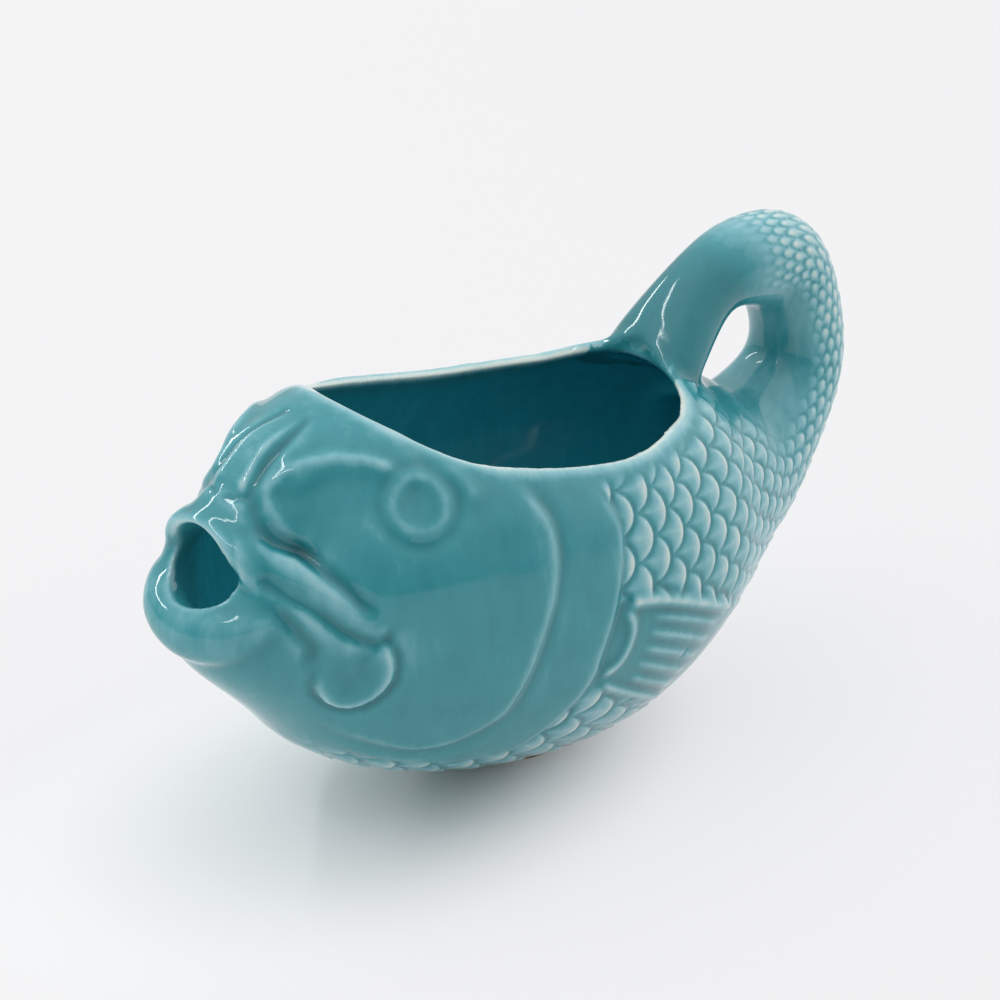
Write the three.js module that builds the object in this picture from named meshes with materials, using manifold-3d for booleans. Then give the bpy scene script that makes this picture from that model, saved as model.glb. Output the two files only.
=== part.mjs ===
// Fish-shaped gravy boat of glazed earthenware.
// The fish swims to -X with its mouth as the spout, its back is open as the bowl, and its tail
// curls over into the handle. Millimetres, +Z up, the fish's left flank to -Y, standing on Z = 0.
// The clay members are luted together with slip, and SEAT_GAP is the thickness of that joint.
import * as THREE from "three";
import { mergeVertices } from "three/addons/utils/BufferGeometryUtils.js";
import Module from "manifold-3d";

// Cross sections of the fish from the mouth to the tip of the tail: the place of each oval's centre
// on the symmetry plane, and its half height and half width square to the spine.
const MOUTH = { x: -104, z: 83, halfHeight: 13.5, halfWidth: 16 };
const SNOUT = { x: -94, z: 75.5, halfHeight: 26, halfWidth: 26.5 };
const CHEEK = { x: -75, z: 71, halfHeight: 43, halfWidth: 38 };
const GILL = { x: -44, z: 64, halfHeight: 54, halfWidth: 46.5 };
const BELLY = { x: 0, z: 54, halfHeight: 55.5, halfWidth: 47.5 };
const LOIN = { x: 34, z: 53, halfHeight: 47.5, halfWidth: 41 };
const FLANK = { x: 58, z: 53.8, halfHeight: 34.8, halfWidth: 30 };
const TAIL_ROOT = { x: 81.2, z: 58.8, halfHeight: 21.6, halfWidth: 20 };
const TAIL_BEND = { x: 101.3, z: 80, halfHeight: 14.4, halfWidth: 13.5 };
const TAIL_RISE = { x: 93.5, z: 108, halfHeight: 13.5, halfWidth: 13 };
const TAIL_TOP = { x: 78.5, z: 113, halfHeight: 12.5, halfWidth: 13.2 };
const TAIL_FALL = { x: 64, z: 109.5, halfHeight: 10, halfWidth: 12.8 };
const TAIL_LANDING = { x: 47.5, z: 96, halfHeight: 10.2, halfWidth: 16 };
const TAIL_TIP = { x: 33, z: 91, halfHeight: 5, halfWidth: 19 };

// Cross sections of the forehead, from the muzzle to the front of the bowl
const FOREHEAD = [
  { x: -99, z: 84.5, halfHeight: 11.5, halfWidth: 13 },
  { x: -94, z: 87.5, halfHeight: 14, halfWidth: 16.5 },
  { x: -88, z: 89.5, halfHeight: 16.2, halfWidth: 20 },
  { x: -78, z: 90.6, halfHeight: 20, halfWidth: 24.5 },
  { x: -68, z: 93.2, halfHeight: 21.8, halfWidth: 28.5 },
  { x: -56, z: 95, halfHeight: 21.5, halfWidth: 32 },
];

// Left brow: a roll on the head from behind the eye to the front of the cheek
const BROW = [
  { x: -60, y: -29, z: 99, radius: 2 },
  { x: -70, y: -21.6, z: 105, radius: 3.4 },
  { x: -80, y: -13.8, z: 106, radius: 3.4 },
  { x: -89.2, y: -10.8, z: 101.4, radius: 3.2 },
  { x: -92.2, y: -15.6, z: 94.4, radius: 2.4 },
];

// Walls, joints and the foot
const WALL = 4.5;
const SEAT_GAP = 0.3;
const FOOT_HEIGHT = 1.6;
const FOOT_CENTRE_X = -2;
const FOOT_HALF_LENGTH = 25;
const FOOT_HALF_WIDTH = 15;
const FOOT_BAND = 5;

// The rim of the bowl in side view, from the brow to the tail
const RIM = [
  { x: -72, z: 121 },
  { x: -67.8, z: 115.6 },
  { x: -61.7, z: 111.1 },
  { x: -43.4, z: 101.6 },
  { x: -4.4, z: 92.2 },
  { x: 21.6, z: 91.8 },
  { x: 34.5, z: 95.1 },
  { x: 39, z: 102 },
  { x: 40.5, z: 110 },
];

// Lips: rolls of clay round the mouth, half of each path, from the corner to the middle
const LOWER_LIP = [
  { x: -95, y: -21, z: 75.5, radius: 2 },
  { x: -101.5, y: -18, z: 74.2, radius: 4.8 },
  { x: -106.8, y: -10.5, z: 71, radius: 7.2 },
  { x: -108.8, y: 0, z: 69.4, radius: 7.7 },
];
const UPPER_LIP = [
  { x: -101, y: -15.5, z: 79, radius: 2 },
  { x: -101.6, y: -15.2, z: 84, radius: 2.8 },
  { x: -102.6, y: -12, z: 88.4, radius: 3 },
  { x: -103.6, y: 0, z: 92.8, radius: 3 },
];

// Bridge of the nose: an arched roll on the forehead from the upper lip to the front of the bowl
const NOSE_BRIDGE = [
  { x: -95, y: 0, z: 98, radius: 4.8 },
  { x: -88.7, y: 0, z: 103.5, radius: 5.4 },
  { x: -79, y: 0, z: 107.3, radius: 5.4 },
  { x: -62, y: 0, z: 110.5, radius: 5 },
];

// Left upper jaw: a roll from the upper lip down the cheek
const UPPER_JAW = [
  { x: -98.6, y: -10, z: 90, radius: 3.4 },
  { x: -94.6, y: -15.8, z: 86.2, radius: 4.4 },
  { x: -90.4, y: -22.2, z: 82.2, radius: 4.6 },
  { x: -84.4, y: -30.2, z: 75.2, radius: 3.8 },
  { x: -81, y: -33.6, z: 70, radius: 2 },
];

// Scroll under the upper jaw, in side view: a ridge that ends in a curl
const JAW_RIDGE = [
  { x: -97, z: 78.3, radius: 1.8 },
  { x: -91.7, z: 71.8, radius: 2.6 },
  { x: -84.5, z: 67, radius: 2.6 },
];
const SCROLL_X = -86.4;
const SCROLL_Z = 60.5;
const SCROLL_RADIUS = 7.5;
const SCROLL_END_RADIUS = 4;
const SCROLL_TURN = 1.2 * Math.PI;
const SCROLL_START = 0.35 * Math.PI;
const SCROLL_ROLL = 2.4;

// Eye
const EYE_X = -65.1;
const EYE_Z = 96.4;
const EYE_RADIUS = 8.2;
const EYE_RING = 2.6;
const EYE_RING_RISE = 2;
const EYE_PUPIL_RISE = 2.3;
const EYE_ROOT = 6;

// Gill covers in side view: the edges behind the cheek plate and behind the gill cover
const CHEEK_EDGE = [
  { x: -43, z: 97 },
  { x: -36.4, z: 87 },
  { x: -37, z: 75.2 },
  { x: -42.4, z: 60.3 },
  { x: -46.8, z: 46.8 },
  { x: -55.8, z: 35.9 },
  { x: -70.2, z: 34.9 },
  { x: -86, z: 43.5 },
];
const CHEEK_FRONT = [
  { x: -82, z: 52 },
  { x: -77, z: 60 },
  { x: -76, z: 72 },
  { x: -74, z: 84 },
  { x: -62, z: 88 },
  { x: -53, z: 95 },
];
const GILL_EDGE = [
  { x: -21, z: 91 },
  { x: -15, z: 81.1 },
  { x: -15.6, z: 69.6 },
  { x: -20.7, z: 56.2 },
  { x: -24, z: 42.4 },
  { x: -33.5, z: 28.5 },
  { x: -50.8, z: 23.5 },
  { x: -73.6, z: 29.8 },
  { x: -85, z: 37.5 },
];
const CHEEK_RISE = 2.2;
const GILL_RISE = 1.3;

// Pectoral fin in side view: its outline, and the fan of its rays
const FIN_TOP = [
  { x: -13.5, z: 60 },
  { x: 0, z: 57 },
  { x: 13, z: 50 },
  { x: 36, z: 37 },
];
const FIN_TRAIL = [
  { x: 33, z: 27 },
  { x: 22, z: 20 },
  { x: 6, z: 21 },
  { x: -18, z: 37 },
];
const FIN_RAYS = 5;
const FIN_RAY_WIDTH = 1.8;
const FIN_RISE = 1;
const FIN_RAY_RISE = 1.9;
const FIN_ROOT_X = -17;
const FIN_ROOT_Z = 50;

// Fineness of the facets
const BODY_SIDES = 36;
const BODY_RINGS = 3;
const TAIL_SIDES = 24;
const TAIL_RINGS = 4;
const ROLL_SIDES = 10;
const ROLL_RINGS = 16;
const EDGE_POINTS = 14;
const FOOT_SIDES = 48;
const EYE_SIDES = 24;
const MERGE_DISTANCE = 1e-4;

// What a cutter reaches past the clay that it cuts
const OVERCUT = 3;

const SECTIONS = [
  MOUTH, SNOUT, CHEEK, GILL, BELLY, LOIN, FLANK,
  TAIL_ROOT, TAIL_BEND, TAIL_RISE, TAIL_TOP, TAIL_FALL, TAIL_LANDING, TAIL_TIP,
];
const HEAD_END = SECTIONS.indexOf(GILL);
const ROOT = SECTIONS.indexOf(TAIL_ROOT);
const HOLLOW_END = ROOT - 1 / BODY_RINGS;
const BORE_END = SECTIONS.indexOf(TAIL_FALL);
const TIP = SECTIONS.indexOf(TAIL_TIP);
const REACH_Y = Math.max(...SECTIONS.map((s) => s.halfWidth)) + 4 * OVERCUT;
const REACH_Z = Math.max(...SECTIONS.map((s) => s.z + s.halfHeight)) + 4 * OVERCUT;

const GLAZE = new THREE.MeshStandardMaterial({ color: 0x4a949b, roughness: 0.15, metalness: 0 });
const BARE_CLAY = new THREE.MeshStandardMaterial({ color: 0xb08d68, roughness: 0.8, metalness: 0 });

const wasm = await Module();
wasm.setup();

// A closed geometry as a solid that can be joined and cut.
function solidOf(geometry) {
  const bare = new THREE.BufferGeometry();
  bare.setAttribute("position", geometry.getAttribute("position").clone());
  if (geometry.index) bare.setIndex(geometry.index.clone());
  const merged = mergeVertices(bare, MERGE_DISTANCE);
  return new wasm.Manifold(
    new wasm.Mesh({
      numProp: 3,
      vertProperties: new Float32Array(merged.attributes.position.array),
      triVerts: new Uint32Array(merged.index.array),
    }),
  );
}

// A solid's surface as a geometry again, seen in a mirror on the symmetry plane if asked.
function geometryOf(solid, mirrored = false) {
  const { numProp, vertProperties, triVerts } = solid.getMesh();
  const places = new Float32Array((vertProperties.length / numProp) * 3);
  for (let i = 0; i < places.length / 3; i++) {
    places.set(vertProperties.subarray(i * numProp, i * numProp + 3), i * 3);
    if (mirrored) places[i * 3 + 1] *= -1;
  }
  const corners = Uint32Array.from(triVerts);
  if (mirrored) {
    for (let i = 0; i < corners.length; i += 3) {
      [corners[i + 1], corners[i + 2]] = [corners[i + 2], corners[i + 1]];
    }
  }
  const geometry = new THREE.BufferGeometry();
  geometry.setAttribute("position", new THREE.BufferAttribute(places, 3));
  geometry.setIndex(new THREE.BufferAttribute(corners, 1));
  geometry.computeVertexNormals();
  return geometry;
}

// A closed skin over a row of rings, each with the same number of points. Its diagonals are mirrored
// on the symmetry plane, so that both flanks are alike.
function skin(rings) {
  const sides = rings[0].length;
  const points = rings.flat();
  const first = points.length;
  const ends = [rings[0], rings[rings.length - 1]];
  for (const ring of ends) {
    const middle = ring.reduce((sum, p) => sum.add(p), new THREE.Vector3()).divideScalar(sides);
    points.push(middle);
  }
  const corners = [];
  for (let r = 0; r + 1 < rings.length; r++) {
    for (let k = 0; k < sides; k++) {
      const a = r * sides + k;
      const b = r * sides + ((k + 1) % sides);
      const leftHalf = Math.cos(((k + 0.5) / sides) * 2 * Math.PI) < 0;
      if (leftHalf) corners.push(a, b, a + sides, b, b + sides, a + sides);
      else corners.push(a, b, b + sides, a, b + sides, a + sides);
    }
  }
  const lastRing = (rings.length - 1) * sides;
  for (let k = 0; k < sides; k++) {
    const next = (k + 1) % sides;
    corners.push(first, next, k, first + 1, lastRing + k, lastRing + next);
  }
  let volume = 0;
  for (let i = 0; i < corners.length; i += 3) {
    const [p, q, r] = [points[corners[i]], points[corners[i + 1]], points[corners[i + 2]]];
    volume += p.dot(q.clone().cross(r));
  }
  if (volume < 0) corners.reverse();
  return new THREE.BufferGeometry().setFromPoints(points).setIndex(corners);
}

const curveOf = (points) => new THREE.CatmullRomCurve3(points, false, "catmullrom", 0.5);

// A smooth spine through cross sections.
const spineOf = (sections) => ({
  centres: curveOf(sections.map((s) => new THREE.Vector3(s.x, 0, s.z))),
  spreads: curveOf(sections.map((s) => new THREE.Vector3(s.halfHeight, s.halfWidth, 0))),
  last: sections.length - 1,
});
const FISH = spineOf(SECTIONS);
const CROWN = spineOf(FOREHEAD);

// The section at a place along a spine, counted in sections from the first one.
function sectionAt(spine, place) {
  const t = place / spine.last;
  const along = spine.centres.getTangent(t);
  const spread = spine.spreads.getPoint(t);
  return {
    centre: spine.centres.getPoint(t),
    along,
    up: new THREE.Vector3(-along.z, 0, along.x),
    halfHeight: spread.x,
    halfWidth: spread.y,
  };
}

// The tube between two places on a spine, with every section grown and both ends pushed out.
function tube(spine, from, to, perSection, sides, grow, startGrow, endGrow) {
  const steps = (to - from) * perSection;
  const rings = [];
  for (let i = 0; i <= steps; i++) {
    const { centre, along, up, halfHeight, halfWidth } = sectionAt(spine, from + i / perSection);
    if (i === 0) centre.addScaledVector(along, -startGrow);
    if (i === steps) centre.addScaledVector(along, endGrow);
    const ring = [];
    for (let k = 0; k < sides; k++) {
      const angle = (k / sides) * 2 * Math.PI;
      const point = centre.clone().addScaledVector(up, (halfHeight + grow) * Math.sin(angle));
      point.y = (halfWidth + grow) * Math.cos(angle);
      ring.push(point);
    }
    rings.push(ring);
  }
  return solidOf(skin(rings));
}

// The point of the left flank that a side view shows at (x, z).
function flankPoint(x, z) {
  const seen = new THREE.Vector3(x, 0, z);
  let nearest = Infinity;
  let place = 0;
  for (let at = 0; at <= ROOT; at += 0.02) {
    const distance = FISH.centres.getPoint(at / TIP).distanceToSquared(seen);
    if (distance < nearest) {
      nearest = distance;
      place = at;
    }
  }
  const { centre, up, halfHeight, halfWidth } = sectionAt(FISH, place);
  const height = THREE.MathUtils.clamp(seen.sub(centre).dot(up) / halfHeight, -1, 1);
  return new THREE.Vector3(x, -halfWidth * Math.sqrt(1 - height * height), z);
}

// The left flank's outward direction where a side view shows (x, z).
function flankNormal(x, z) {
  const step = 1;
  const lengthways = flankPoint(x + step, z).sub(flankPoint(x - step, z));
  const upwards = flankPoint(x, z + step).sub(flankPoint(x, z - step));
  return lengthways.cross(upwards).normalize();
}

// A round roll of clay along a path of points that have their own radii.
function roll(path, grow) {
  const curve = curveOf(path.map((p) => new THREE.Vector3(p.x, p.y, p.z)));
  const radii = curveOf(path.map((p) => new THREE.Vector3(p.radius, 0, 0)));
  const frames = curve.computeFrenetFrames(ROLL_RINGS);
  const rings = [];
  for (let i = 0; i <= ROLL_RINGS; i++) {
    const t = i / ROLL_RINGS;
    const u = curve.getUtoTmapping(t);
    const centre = curve.getPoint(u);
    if (i === 0) centre.addScaledVector(frames.tangents[i], -grow);
    if (i === ROLL_RINGS) centre.addScaledVector(frames.tangents[i], grow);
    const radius = radii.getPoint(u).x + grow;
    const ring = [];
    for (let k = 0; k < ROLL_SIDES; k++) {
      const angle = (k / ROLL_SIDES) * 2 * Math.PI;
      ring.push(
        centre
          .clone()
          .addScaledVector(frames.normals[i], radius * Math.cos(angle))
          .addScaledVector(frames.binormals[i], radius * Math.sin(angle)),
      );
    }
    rings.push(ring);
  }
  return solidOf(skin(rings));
}

// A prism across the fish over a side-view outline, from one Y to a lower one.
function prism(outline, fromY, toY) {
  const shape = new THREE.Shape(outline.map((p) => new THREE.Vector2(p.x, p.z ?? p.y)));
  const geometry = new THREE.ExtrudeGeometry(shape, { depth: fromY - toY, bevelEnabled: false });
  geometry.rotateX(Math.PI / 2);
  geometry.translate(0, fromY, 0);
  return solidOf(geometry);
}

// A smooth side-view edge through a few points.
function edge(points, count = EDGE_POINTS) {
  const curve = new THREE.SplineCurve(points.map((p) => new THREE.Vector2(p.x, p.z)));
  return curve.getPoints(count).map((p) => ({ x: p.x, z: p.y }));
}

// A side-view edge moved out square to itself, to the left of its run from first to last.
function outset(points, by) {
  const last = points.length - 1;
  return points.map((p, i) => {
    const before = points[Math.max(i - 1, 0)];
    const after = points[Math.min(i + 1, last)];
    const run = new THREE.Vector2(after.x - before.x, after.z - before.z).normalize();
    return { x: p.x - by * run.y, z: p.z + by * run.x };
  });
}

// A box over a range of heights that takes in the whole fish.
function slab(fromZ, toZ) {
  const length = 4 * (TAIL_BEND.x - MOUTH.x);
  const geometry = new THREE.BoxGeometry(length, 2 * REACH_Y, toZ - fromZ);
  geometry.translate(0, 0, (fromZ + toZ) / 2);
  return solidOf(geometry);
}

// The same path on the other flank.
const mirrored = (path) => path.map((p) => ({ ...p, y: -p.y }));

// The forehead from one of its sections on, with every section grown.
const crown = (from, grow, startGrow) =>
  tube(CROWN, from, CROWN.last, BODY_RINGS, BODY_SIDES, grow, startGrow, 0);

// The body from the mouth to the root of the tail with its forehead and brows, all of it grown.
const bodyGrown = (grow, endGrow) =>
  tube(FISH, 0, ROOT, BODY_RINGS, BODY_SIDES, grow, endGrow, endGrow)
    .add(crown(0, grow, grow))
    .add(roll(BROW, grow))
    .add(roll(mirrored(BROW), grow));
const body = bodyGrown(0, 0);

// The seat is grown square to the spine, and moved to the front too, where the forehead is steep.
const bodySeat = bodyGrown(SEAT_GAP, SEAT_GAP).add(body.translate([-SEAT_GAP, 0, 0]));

// The hollow runs out of the mouth, and ends at a wall that closes the root of the tail.
const bodyHollow = tube(
  FISH, 0, HOLLOW_END, BODY_RINGS, BODY_SIDES, -WALL, 2 * OVERCUT, 0,
).add(crown(1, -WALL, 0));

// What a side view shows of the bowl, from the rim up.
const rimEdge = edge(RIM, 2 * EDGE_POINTS);
const bowlOutline = [
  ...rimEdge,
  { x: rimEdge.at(-1).x, z: REACH_Z },
  { x: rimEdge[0].x, z: REACH_Z },
];
const bowlCut = prism(bowlOutline, REACH_Y, -REACH_Y);

// The left half of a layer that lies on the flank, under a cutter made from a side view.
const onFlank = (cutter, rise) => cutter.intersect(bodyGrown(rise, 0)).subtract(bodySeat);

// A cutter over the left flank for a side-view outline.
const leftPrism = (outline) => prism(outline, -OVERCUT, -REACH_Y);

// Shell of the fish, open at the mouth and along the back
function shell() {
  const underside = FOOT_HEIGHT + SEAT_GAP;
  const hollow = bodyHollow.subtract(slab(-REACH_Z, underside + WALL));
  return body.subtract(slab(-REACH_Z, underside)).subtract(hollow).subtract(bowlCut);
}

// A block that takes in all that lies on one side of a section, from half a slip joint past it:
// towards the tail for a side of 1, towards the mouth for -1.
function sideOf(place, side) {
  const { centre, along } = sectionAt(FISH, place);
  const reach = 2 * (TAIL_BEND.x - MOUTH.x);
  const geometry = new THREE.BoxGeometry(reach, 2 * REACH_Y, 2 * REACH_Z);
  const turn = new THREE.Quaternion().setFromUnitVectors(new THREE.Vector3(1, 0, 0), along);
  geometry.applyQuaternion(turn);
  geometry.translate(...centre.addScaledVector(along, (side * (reach + SEAT_GAP)) / 2));
  return solidOf(geometry);
}

// Hollow tail that curls over from its root to land on the back behind the bowl
function tailHandle() {
  const tail = tube(FISH, ROOT, TIP, TAIL_RINGS, TAIL_SIDES, 0, 0, 0);
  const bore = tube(FISH, ROOT, BORE_END, TAIL_RINGS, TAIL_SIDES, -WALL, OVERCUT, 0);
  return tail.subtract(bore).subtract(bodySeat).subtract(bowlCut);
}

// Oval ring of bare clay that the boat stands on
function footRing() {
  const oval = (inset) => {
    const ellipse = new THREE.EllipseCurve(0, 0, FOOT_HALF_LENGTH - inset, FOOT_HALF_WIDTH - inset);
    return ellipse.getPoints(FOOT_SIDES).slice(0, -1);
  };
  const shape = new THREE.Shape(oval(0));
  shape.holes.push(new THREE.Path(oval(FOOT_BAND)));
  const geometry = new THREE.ExtrudeGeometry(shape, { depth: FOOT_HEIGHT, bevelEnabled: false });
  geometry.translate(FOOT_CENTRE_X, 0, 0);
  return solidOf(geometry);
}

// A lip's whole path from its left half.
function lipPath(half) {
  return [...half, ...mirrored(half.slice(0, -1)).reverse()];
}

// A path on the left flank from side-view points.
const flankPath = (points) => points.map((p) => ({ ...flankPoint(p.x, p.z), radius: p.radius }));

// The scroll under the jaw: the ridge from the mouth, then a spiral that curls in on itself.
function scrollPath() {
  const points = [...JAW_RIDGE];
  const steps = 6;
  for (let i = 0; i <= steps; i++) {
    const angle = SCROLL_START - (SCROLL_TURN * i) / steps;
    const reach = THREE.MathUtils.lerp(SCROLL_RADIUS, SCROLL_END_RADIUS, i / steps);
    points.push({
      x: SCROLL_X + reach * Math.cos(angle),
      z: SCROLL_Z + reach * Math.sin(angle),
      radius: SCROLL_ROLL,
    });
  }
  return flankPath(points);
}

// Domed eye with a raised ring, rooted in the flank
function eye() {
  const inner = EYE_RADIUS - EYE_RING;
  const profile = [
    [0, -EYE_ROOT],
    [EYE_RADIUS, -EYE_ROOT],
    [EYE_RADIUS, 0],
    [EYE_RADIUS - EYE_RING / 4, EYE_RING_RISE * 0.8],
    [EYE_RADIUS - EYE_RING / 2, EYE_RING_RISE],
    [inner, EYE_RING_RISE * 0.6],
    [inner * 0.75, EYE_PUPIL_RISE * 0.75],
    [inner * 0.4, EYE_PUPIL_RISE * 0.95],
    [0, EYE_PUPIL_RISE],
  ];
  const geometry = new THREE.LatheGeometry(
    profile.map(([radius, height]) => new THREE.Vector2(radius, height)),
    EYE_SIDES,
  );
  const turn = new THREE.Quaternion();
  turn.setFromUnitVectors(new THREE.Vector3(0, 1, 0), flankNormal(EYE_X, EYE_Z));
  geometry.applyQuaternion(turn);
  geometry.translate(...flankPoint(EYE_X, EYE_Z));
  return solidOf(geometry).subtract(bodySeat);
}

// Fan of fin rays on a thin web
function pectoralFin() {
  const trail = edge(FIN_TRAIL);
  const web = leftPrism([...edge(FIN_TOP), ...trail]);
  let fin = onFlank(web, FIN_RISE);
  for (let i = 0; i < FIN_RAYS; i++) {
    const tip = trail[Math.round((i / FIN_RAYS) * EDGE_POINTS)];
    const run = new THREE.Vector2(tip.x - FIN_ROOT_X, tip.z - FIN_ROOT_Z);
    const half = run.normalize().multiplyScalar(FIN_RAY_WIDTH / 2);
    const ray = [
      { x: FIN_ROOT_X - half.y, z: FIN_ROOT_Z + half.x },
      { x: FIN_ROOT_X + half.y, z: FIN_ROOT_Z - half.x },
      { x: tip.x + half.y, z: tip.z - half.x },
      { x: tip.x - half.y, z: tip.z + half.x },
    ];
    fin = fin.add(onFlank(leftPrism(ray).intersect(web), FIN_RAY_RISE));
  }
  return fin;
}

const lowerLipPath = lipPath(LOWER_LIP);
const upperLipPath = lipPath(UPPER_LIP);
const lowerLipSeat = roll(lowerLipPath, SEAT_GAP);
const upperLipSeat = roll(upperLipPath, SEAT_GAP);
const upperJawSeat = roll(UPPER_JAW, SEAT_GAP);
const scrollSeat = roll(scrollPath(), SEAT_GAP);

const lowerLip = roll(lowerLipPath, 0).subtract(bodySeat).subtract(bodyHollow);
const upperLip = roll(upperLipPath, 0)
  .subtract(bodySeat)
  .subtract(bodyHollow)
  .subtract(lowerLipSeat);
const noseBridge = roll(NOSE_BRIDGE, 0)
  .subtract(bodySeat)
  .subtract(bowlCut)
  .subtract(upperLipSeat);
const upperJaw = roll(UPPER_JAW, 0)
  .subtract(bodySeat)
  .subtract(lowerLipSeat)
  .subtract(upperLipSeat);
const jawScroll = roll(scrollPath(), 0)
  .subtract(bodySeat)
  .subtract(lowerLipSeat)
  .subtract(upperLipSeat)
  .subtract(upperJawSeat);

const cheekEdge = edge(CHEEK_EDGE);
const cheekOutline = [...cheekEdge, ...edge(CHEEK_FRONT)];
const cheekPlate = onFlank(leftPrism(cheekOutline), CHEEK_RISE)
  .subtract(upperJawSeat)
  .subtract(scrollSeat);
const gillOutline = [...edge(GILL_EDGE), ...outset(cheekEdge, SEAT_GAP).reverse()];
const gillCover = onFlank(leftPrism(gillOutline), GILL_RISE);
const fin = pectoralFin();
const eyeDome = eye();

const fish = new THREE.Group();

// Adds a named member to the fish.
function member(name, solid, material, mirrored = false) {
  const mesh = new THREE.Mesh(geometryOf(solid, mirrored), material);
  mesh.name = name;
  fish.add(mesh);
}

// Adds the same member on both flanks.
function pair(name, solid) {
  member(`left_${name}`, solid, GLAZE);
  member(`right_${name}`, solid, GLAZE, true);
}

const wholeShell = shell();
member("head_shell", wholeShell.intersect(sideOf(HEAD_END, -1)), GLAZE);
member("body_shell", wholeShell.intersect(sideOf(HEAD_END, 1)), GLAZE);
member("tail_handle", tailHandle(), GLAZE);
member("foot_ring", footRing(), BARE_CLAY);
member("lower_lip", lowerLip, GLAZE);
member("upper_lip", upperLip, GLAZE);
member("nose_bridge", noseBridge, GLAZE);
pair("upper_jaw", upperJaw);
pair("jaw_scroll", jawScroll);
pair("eye", eyeDome);
pair("cheek_plate", cheekPlate);
pair("gill_cover", gillCover);
pair("pectoral_fin", fin);

// The origin is under the middle of the boat.
const bounds = new THREE.Box3().setFromObject(fish);
fish.position.x = -(bounds.min.x + bounds.max.x) / 2;

const gravyBoat = new THREE.Group();
gravyBoat.name = "fish_gravy_boat";
gravyBoat.add(fish);

export default gravyBoat;
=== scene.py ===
"""The looks of a fish-shaped gravy boat in glazed pottery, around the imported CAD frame.

The clay is modelled in millimetres, in the frame of the CAD: the mouth to -X, the tail to +X, the
left flank to -Y, and the foot on Z = 0. Each finished piece is then brought to metres.
"""
import logging
import math
from dataclasses import dataclass
from enum import Enum

import bpy
import numpy as np
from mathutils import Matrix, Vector
from mathutils.bvhtree import BVHTree
from mathutils.kdtree import KDTree


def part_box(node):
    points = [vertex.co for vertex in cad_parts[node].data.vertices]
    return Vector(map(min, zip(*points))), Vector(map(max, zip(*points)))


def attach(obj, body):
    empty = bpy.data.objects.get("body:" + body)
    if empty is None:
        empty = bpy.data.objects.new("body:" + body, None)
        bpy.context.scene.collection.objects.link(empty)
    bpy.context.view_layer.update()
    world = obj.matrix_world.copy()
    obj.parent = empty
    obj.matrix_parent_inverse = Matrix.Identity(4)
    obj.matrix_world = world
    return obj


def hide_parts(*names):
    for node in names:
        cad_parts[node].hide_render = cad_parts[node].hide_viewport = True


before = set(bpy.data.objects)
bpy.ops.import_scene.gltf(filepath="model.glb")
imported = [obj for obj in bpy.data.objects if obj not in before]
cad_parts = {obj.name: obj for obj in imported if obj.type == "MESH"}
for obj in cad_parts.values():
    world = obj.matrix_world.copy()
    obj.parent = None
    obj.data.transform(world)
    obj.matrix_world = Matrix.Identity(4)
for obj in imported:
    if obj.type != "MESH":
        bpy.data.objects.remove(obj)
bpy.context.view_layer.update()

LOG = logging.getLogger("gravy_boat")
METRES = 0.001
Piece = bpy.types.Object
Mesh = bpy.types.Mesh
Material = bpy.types.Material
Node = bpy.types.Node
Socket = bpy.types.NodeSocket
Array = np.ndarray
Span = tuple[float, float]
Point = tuple[float, float, float]
Points = tuple[Point, ...]
Path = tuple[tuple[float, float, float, float], ...]
Outline = tuple[tuple[float, float], ...] | list[tuple[float, float]]
Colour = tuple[float, float, float, float]
Stops = tuple[tuple[float, Colour], ...]
GLAZE_VALUES = ("tone", "inside")
VOXEL = 0.6
SLAB_THICKNESS = 4.0
LINE_SPACING = 2.0
MERGE_DISTANCE = 0.001
SOFT_LEVELS = 10
LAST_ROUNDS = 2
RIM_CALM = (0.8, 3.5)


class Part(Enum):
    """The parts of the fish, from the mouth to the tail."""

    HEAD = "fish_head"
    BODY = "fish_body"
    TAIL = "fish_tail"


class Sculpt(Enum):
    """What a carved stroke leaves in the clay."""

    RIDGE = 1
    GROOVE = -1


# Helpers for modelling by operators


def deselect() -> None:
    """Leaves edit mode and takes everything out of the selection."""
    if bpy.context.mode != "OBJECT":
        bpy.ops.object.mode_set(mode="OBJECT")
    bpy.ops.object.select_all(action="DESELECT")


def activate(piece: Piece) -> None:
    """Makes one object the only selected and active one."""
    deselect()
    piece.select_set(True)
    bpy.context.view_layer.objects.active = piece


def modify(piece: Piece, kind: str, **settings: object) -> None:
    """Adds a modifier and applies it.

    Args:
        piece: the object to change.
        kind: Blender's name for the modifier.
        settings: its values by name.
    """
    activate(piece)
    modifier = piece.modifiers.new(kind.title(), kind)
    for name, value in settings.items():
        setattr(modifier, name, value)
    bpy.ops.object.modifier_apply(modifier=modifier.name)


def join(pieces: list[Piece]) -> Piece:
    """Joins objects into the first one.

    Args:
        pieces: the objects, of which only the first one stays.

    Returns:
        The first object, with all the meshes in it.
    """
    deselect()
    for piece in pieces:
        piece.select_set(True)
    bpy.context.view_layer.objects.active = pieces[0]
    bpy.ops.object.join()
    return pieces[0]


def remove(piece: Piece) -> None:
    """Deletes an object that has done its work."""
    mesh = piece.data
    bpy.data.objects.remove(piece)
    bpy.data.meshes.remove(mesh)


def clean(piece: Piece) -> None:
    """Merges doubled corners and turns all faces outwards.

    Args:
        piece: the object to clean.
    """
    activate(piece)
    bpy.ops.object.mode_set(mode="EDIT")
    bpy.ops.mesh.select_all(action="SELECT")
    bpy.ops.mesh.remove_doubles(threshold=MERGE_DISTANCE)
    close_edit()


def corners(mesh: Mesh) -> Array:
    """Gives the places of a mesh's corners, one row each."""
    places = np.empty(len(mesh.vertices) * 3)
    mesh.vertices.foreach_get("co", places)
    return places.reshape(-1, 3)


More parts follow.
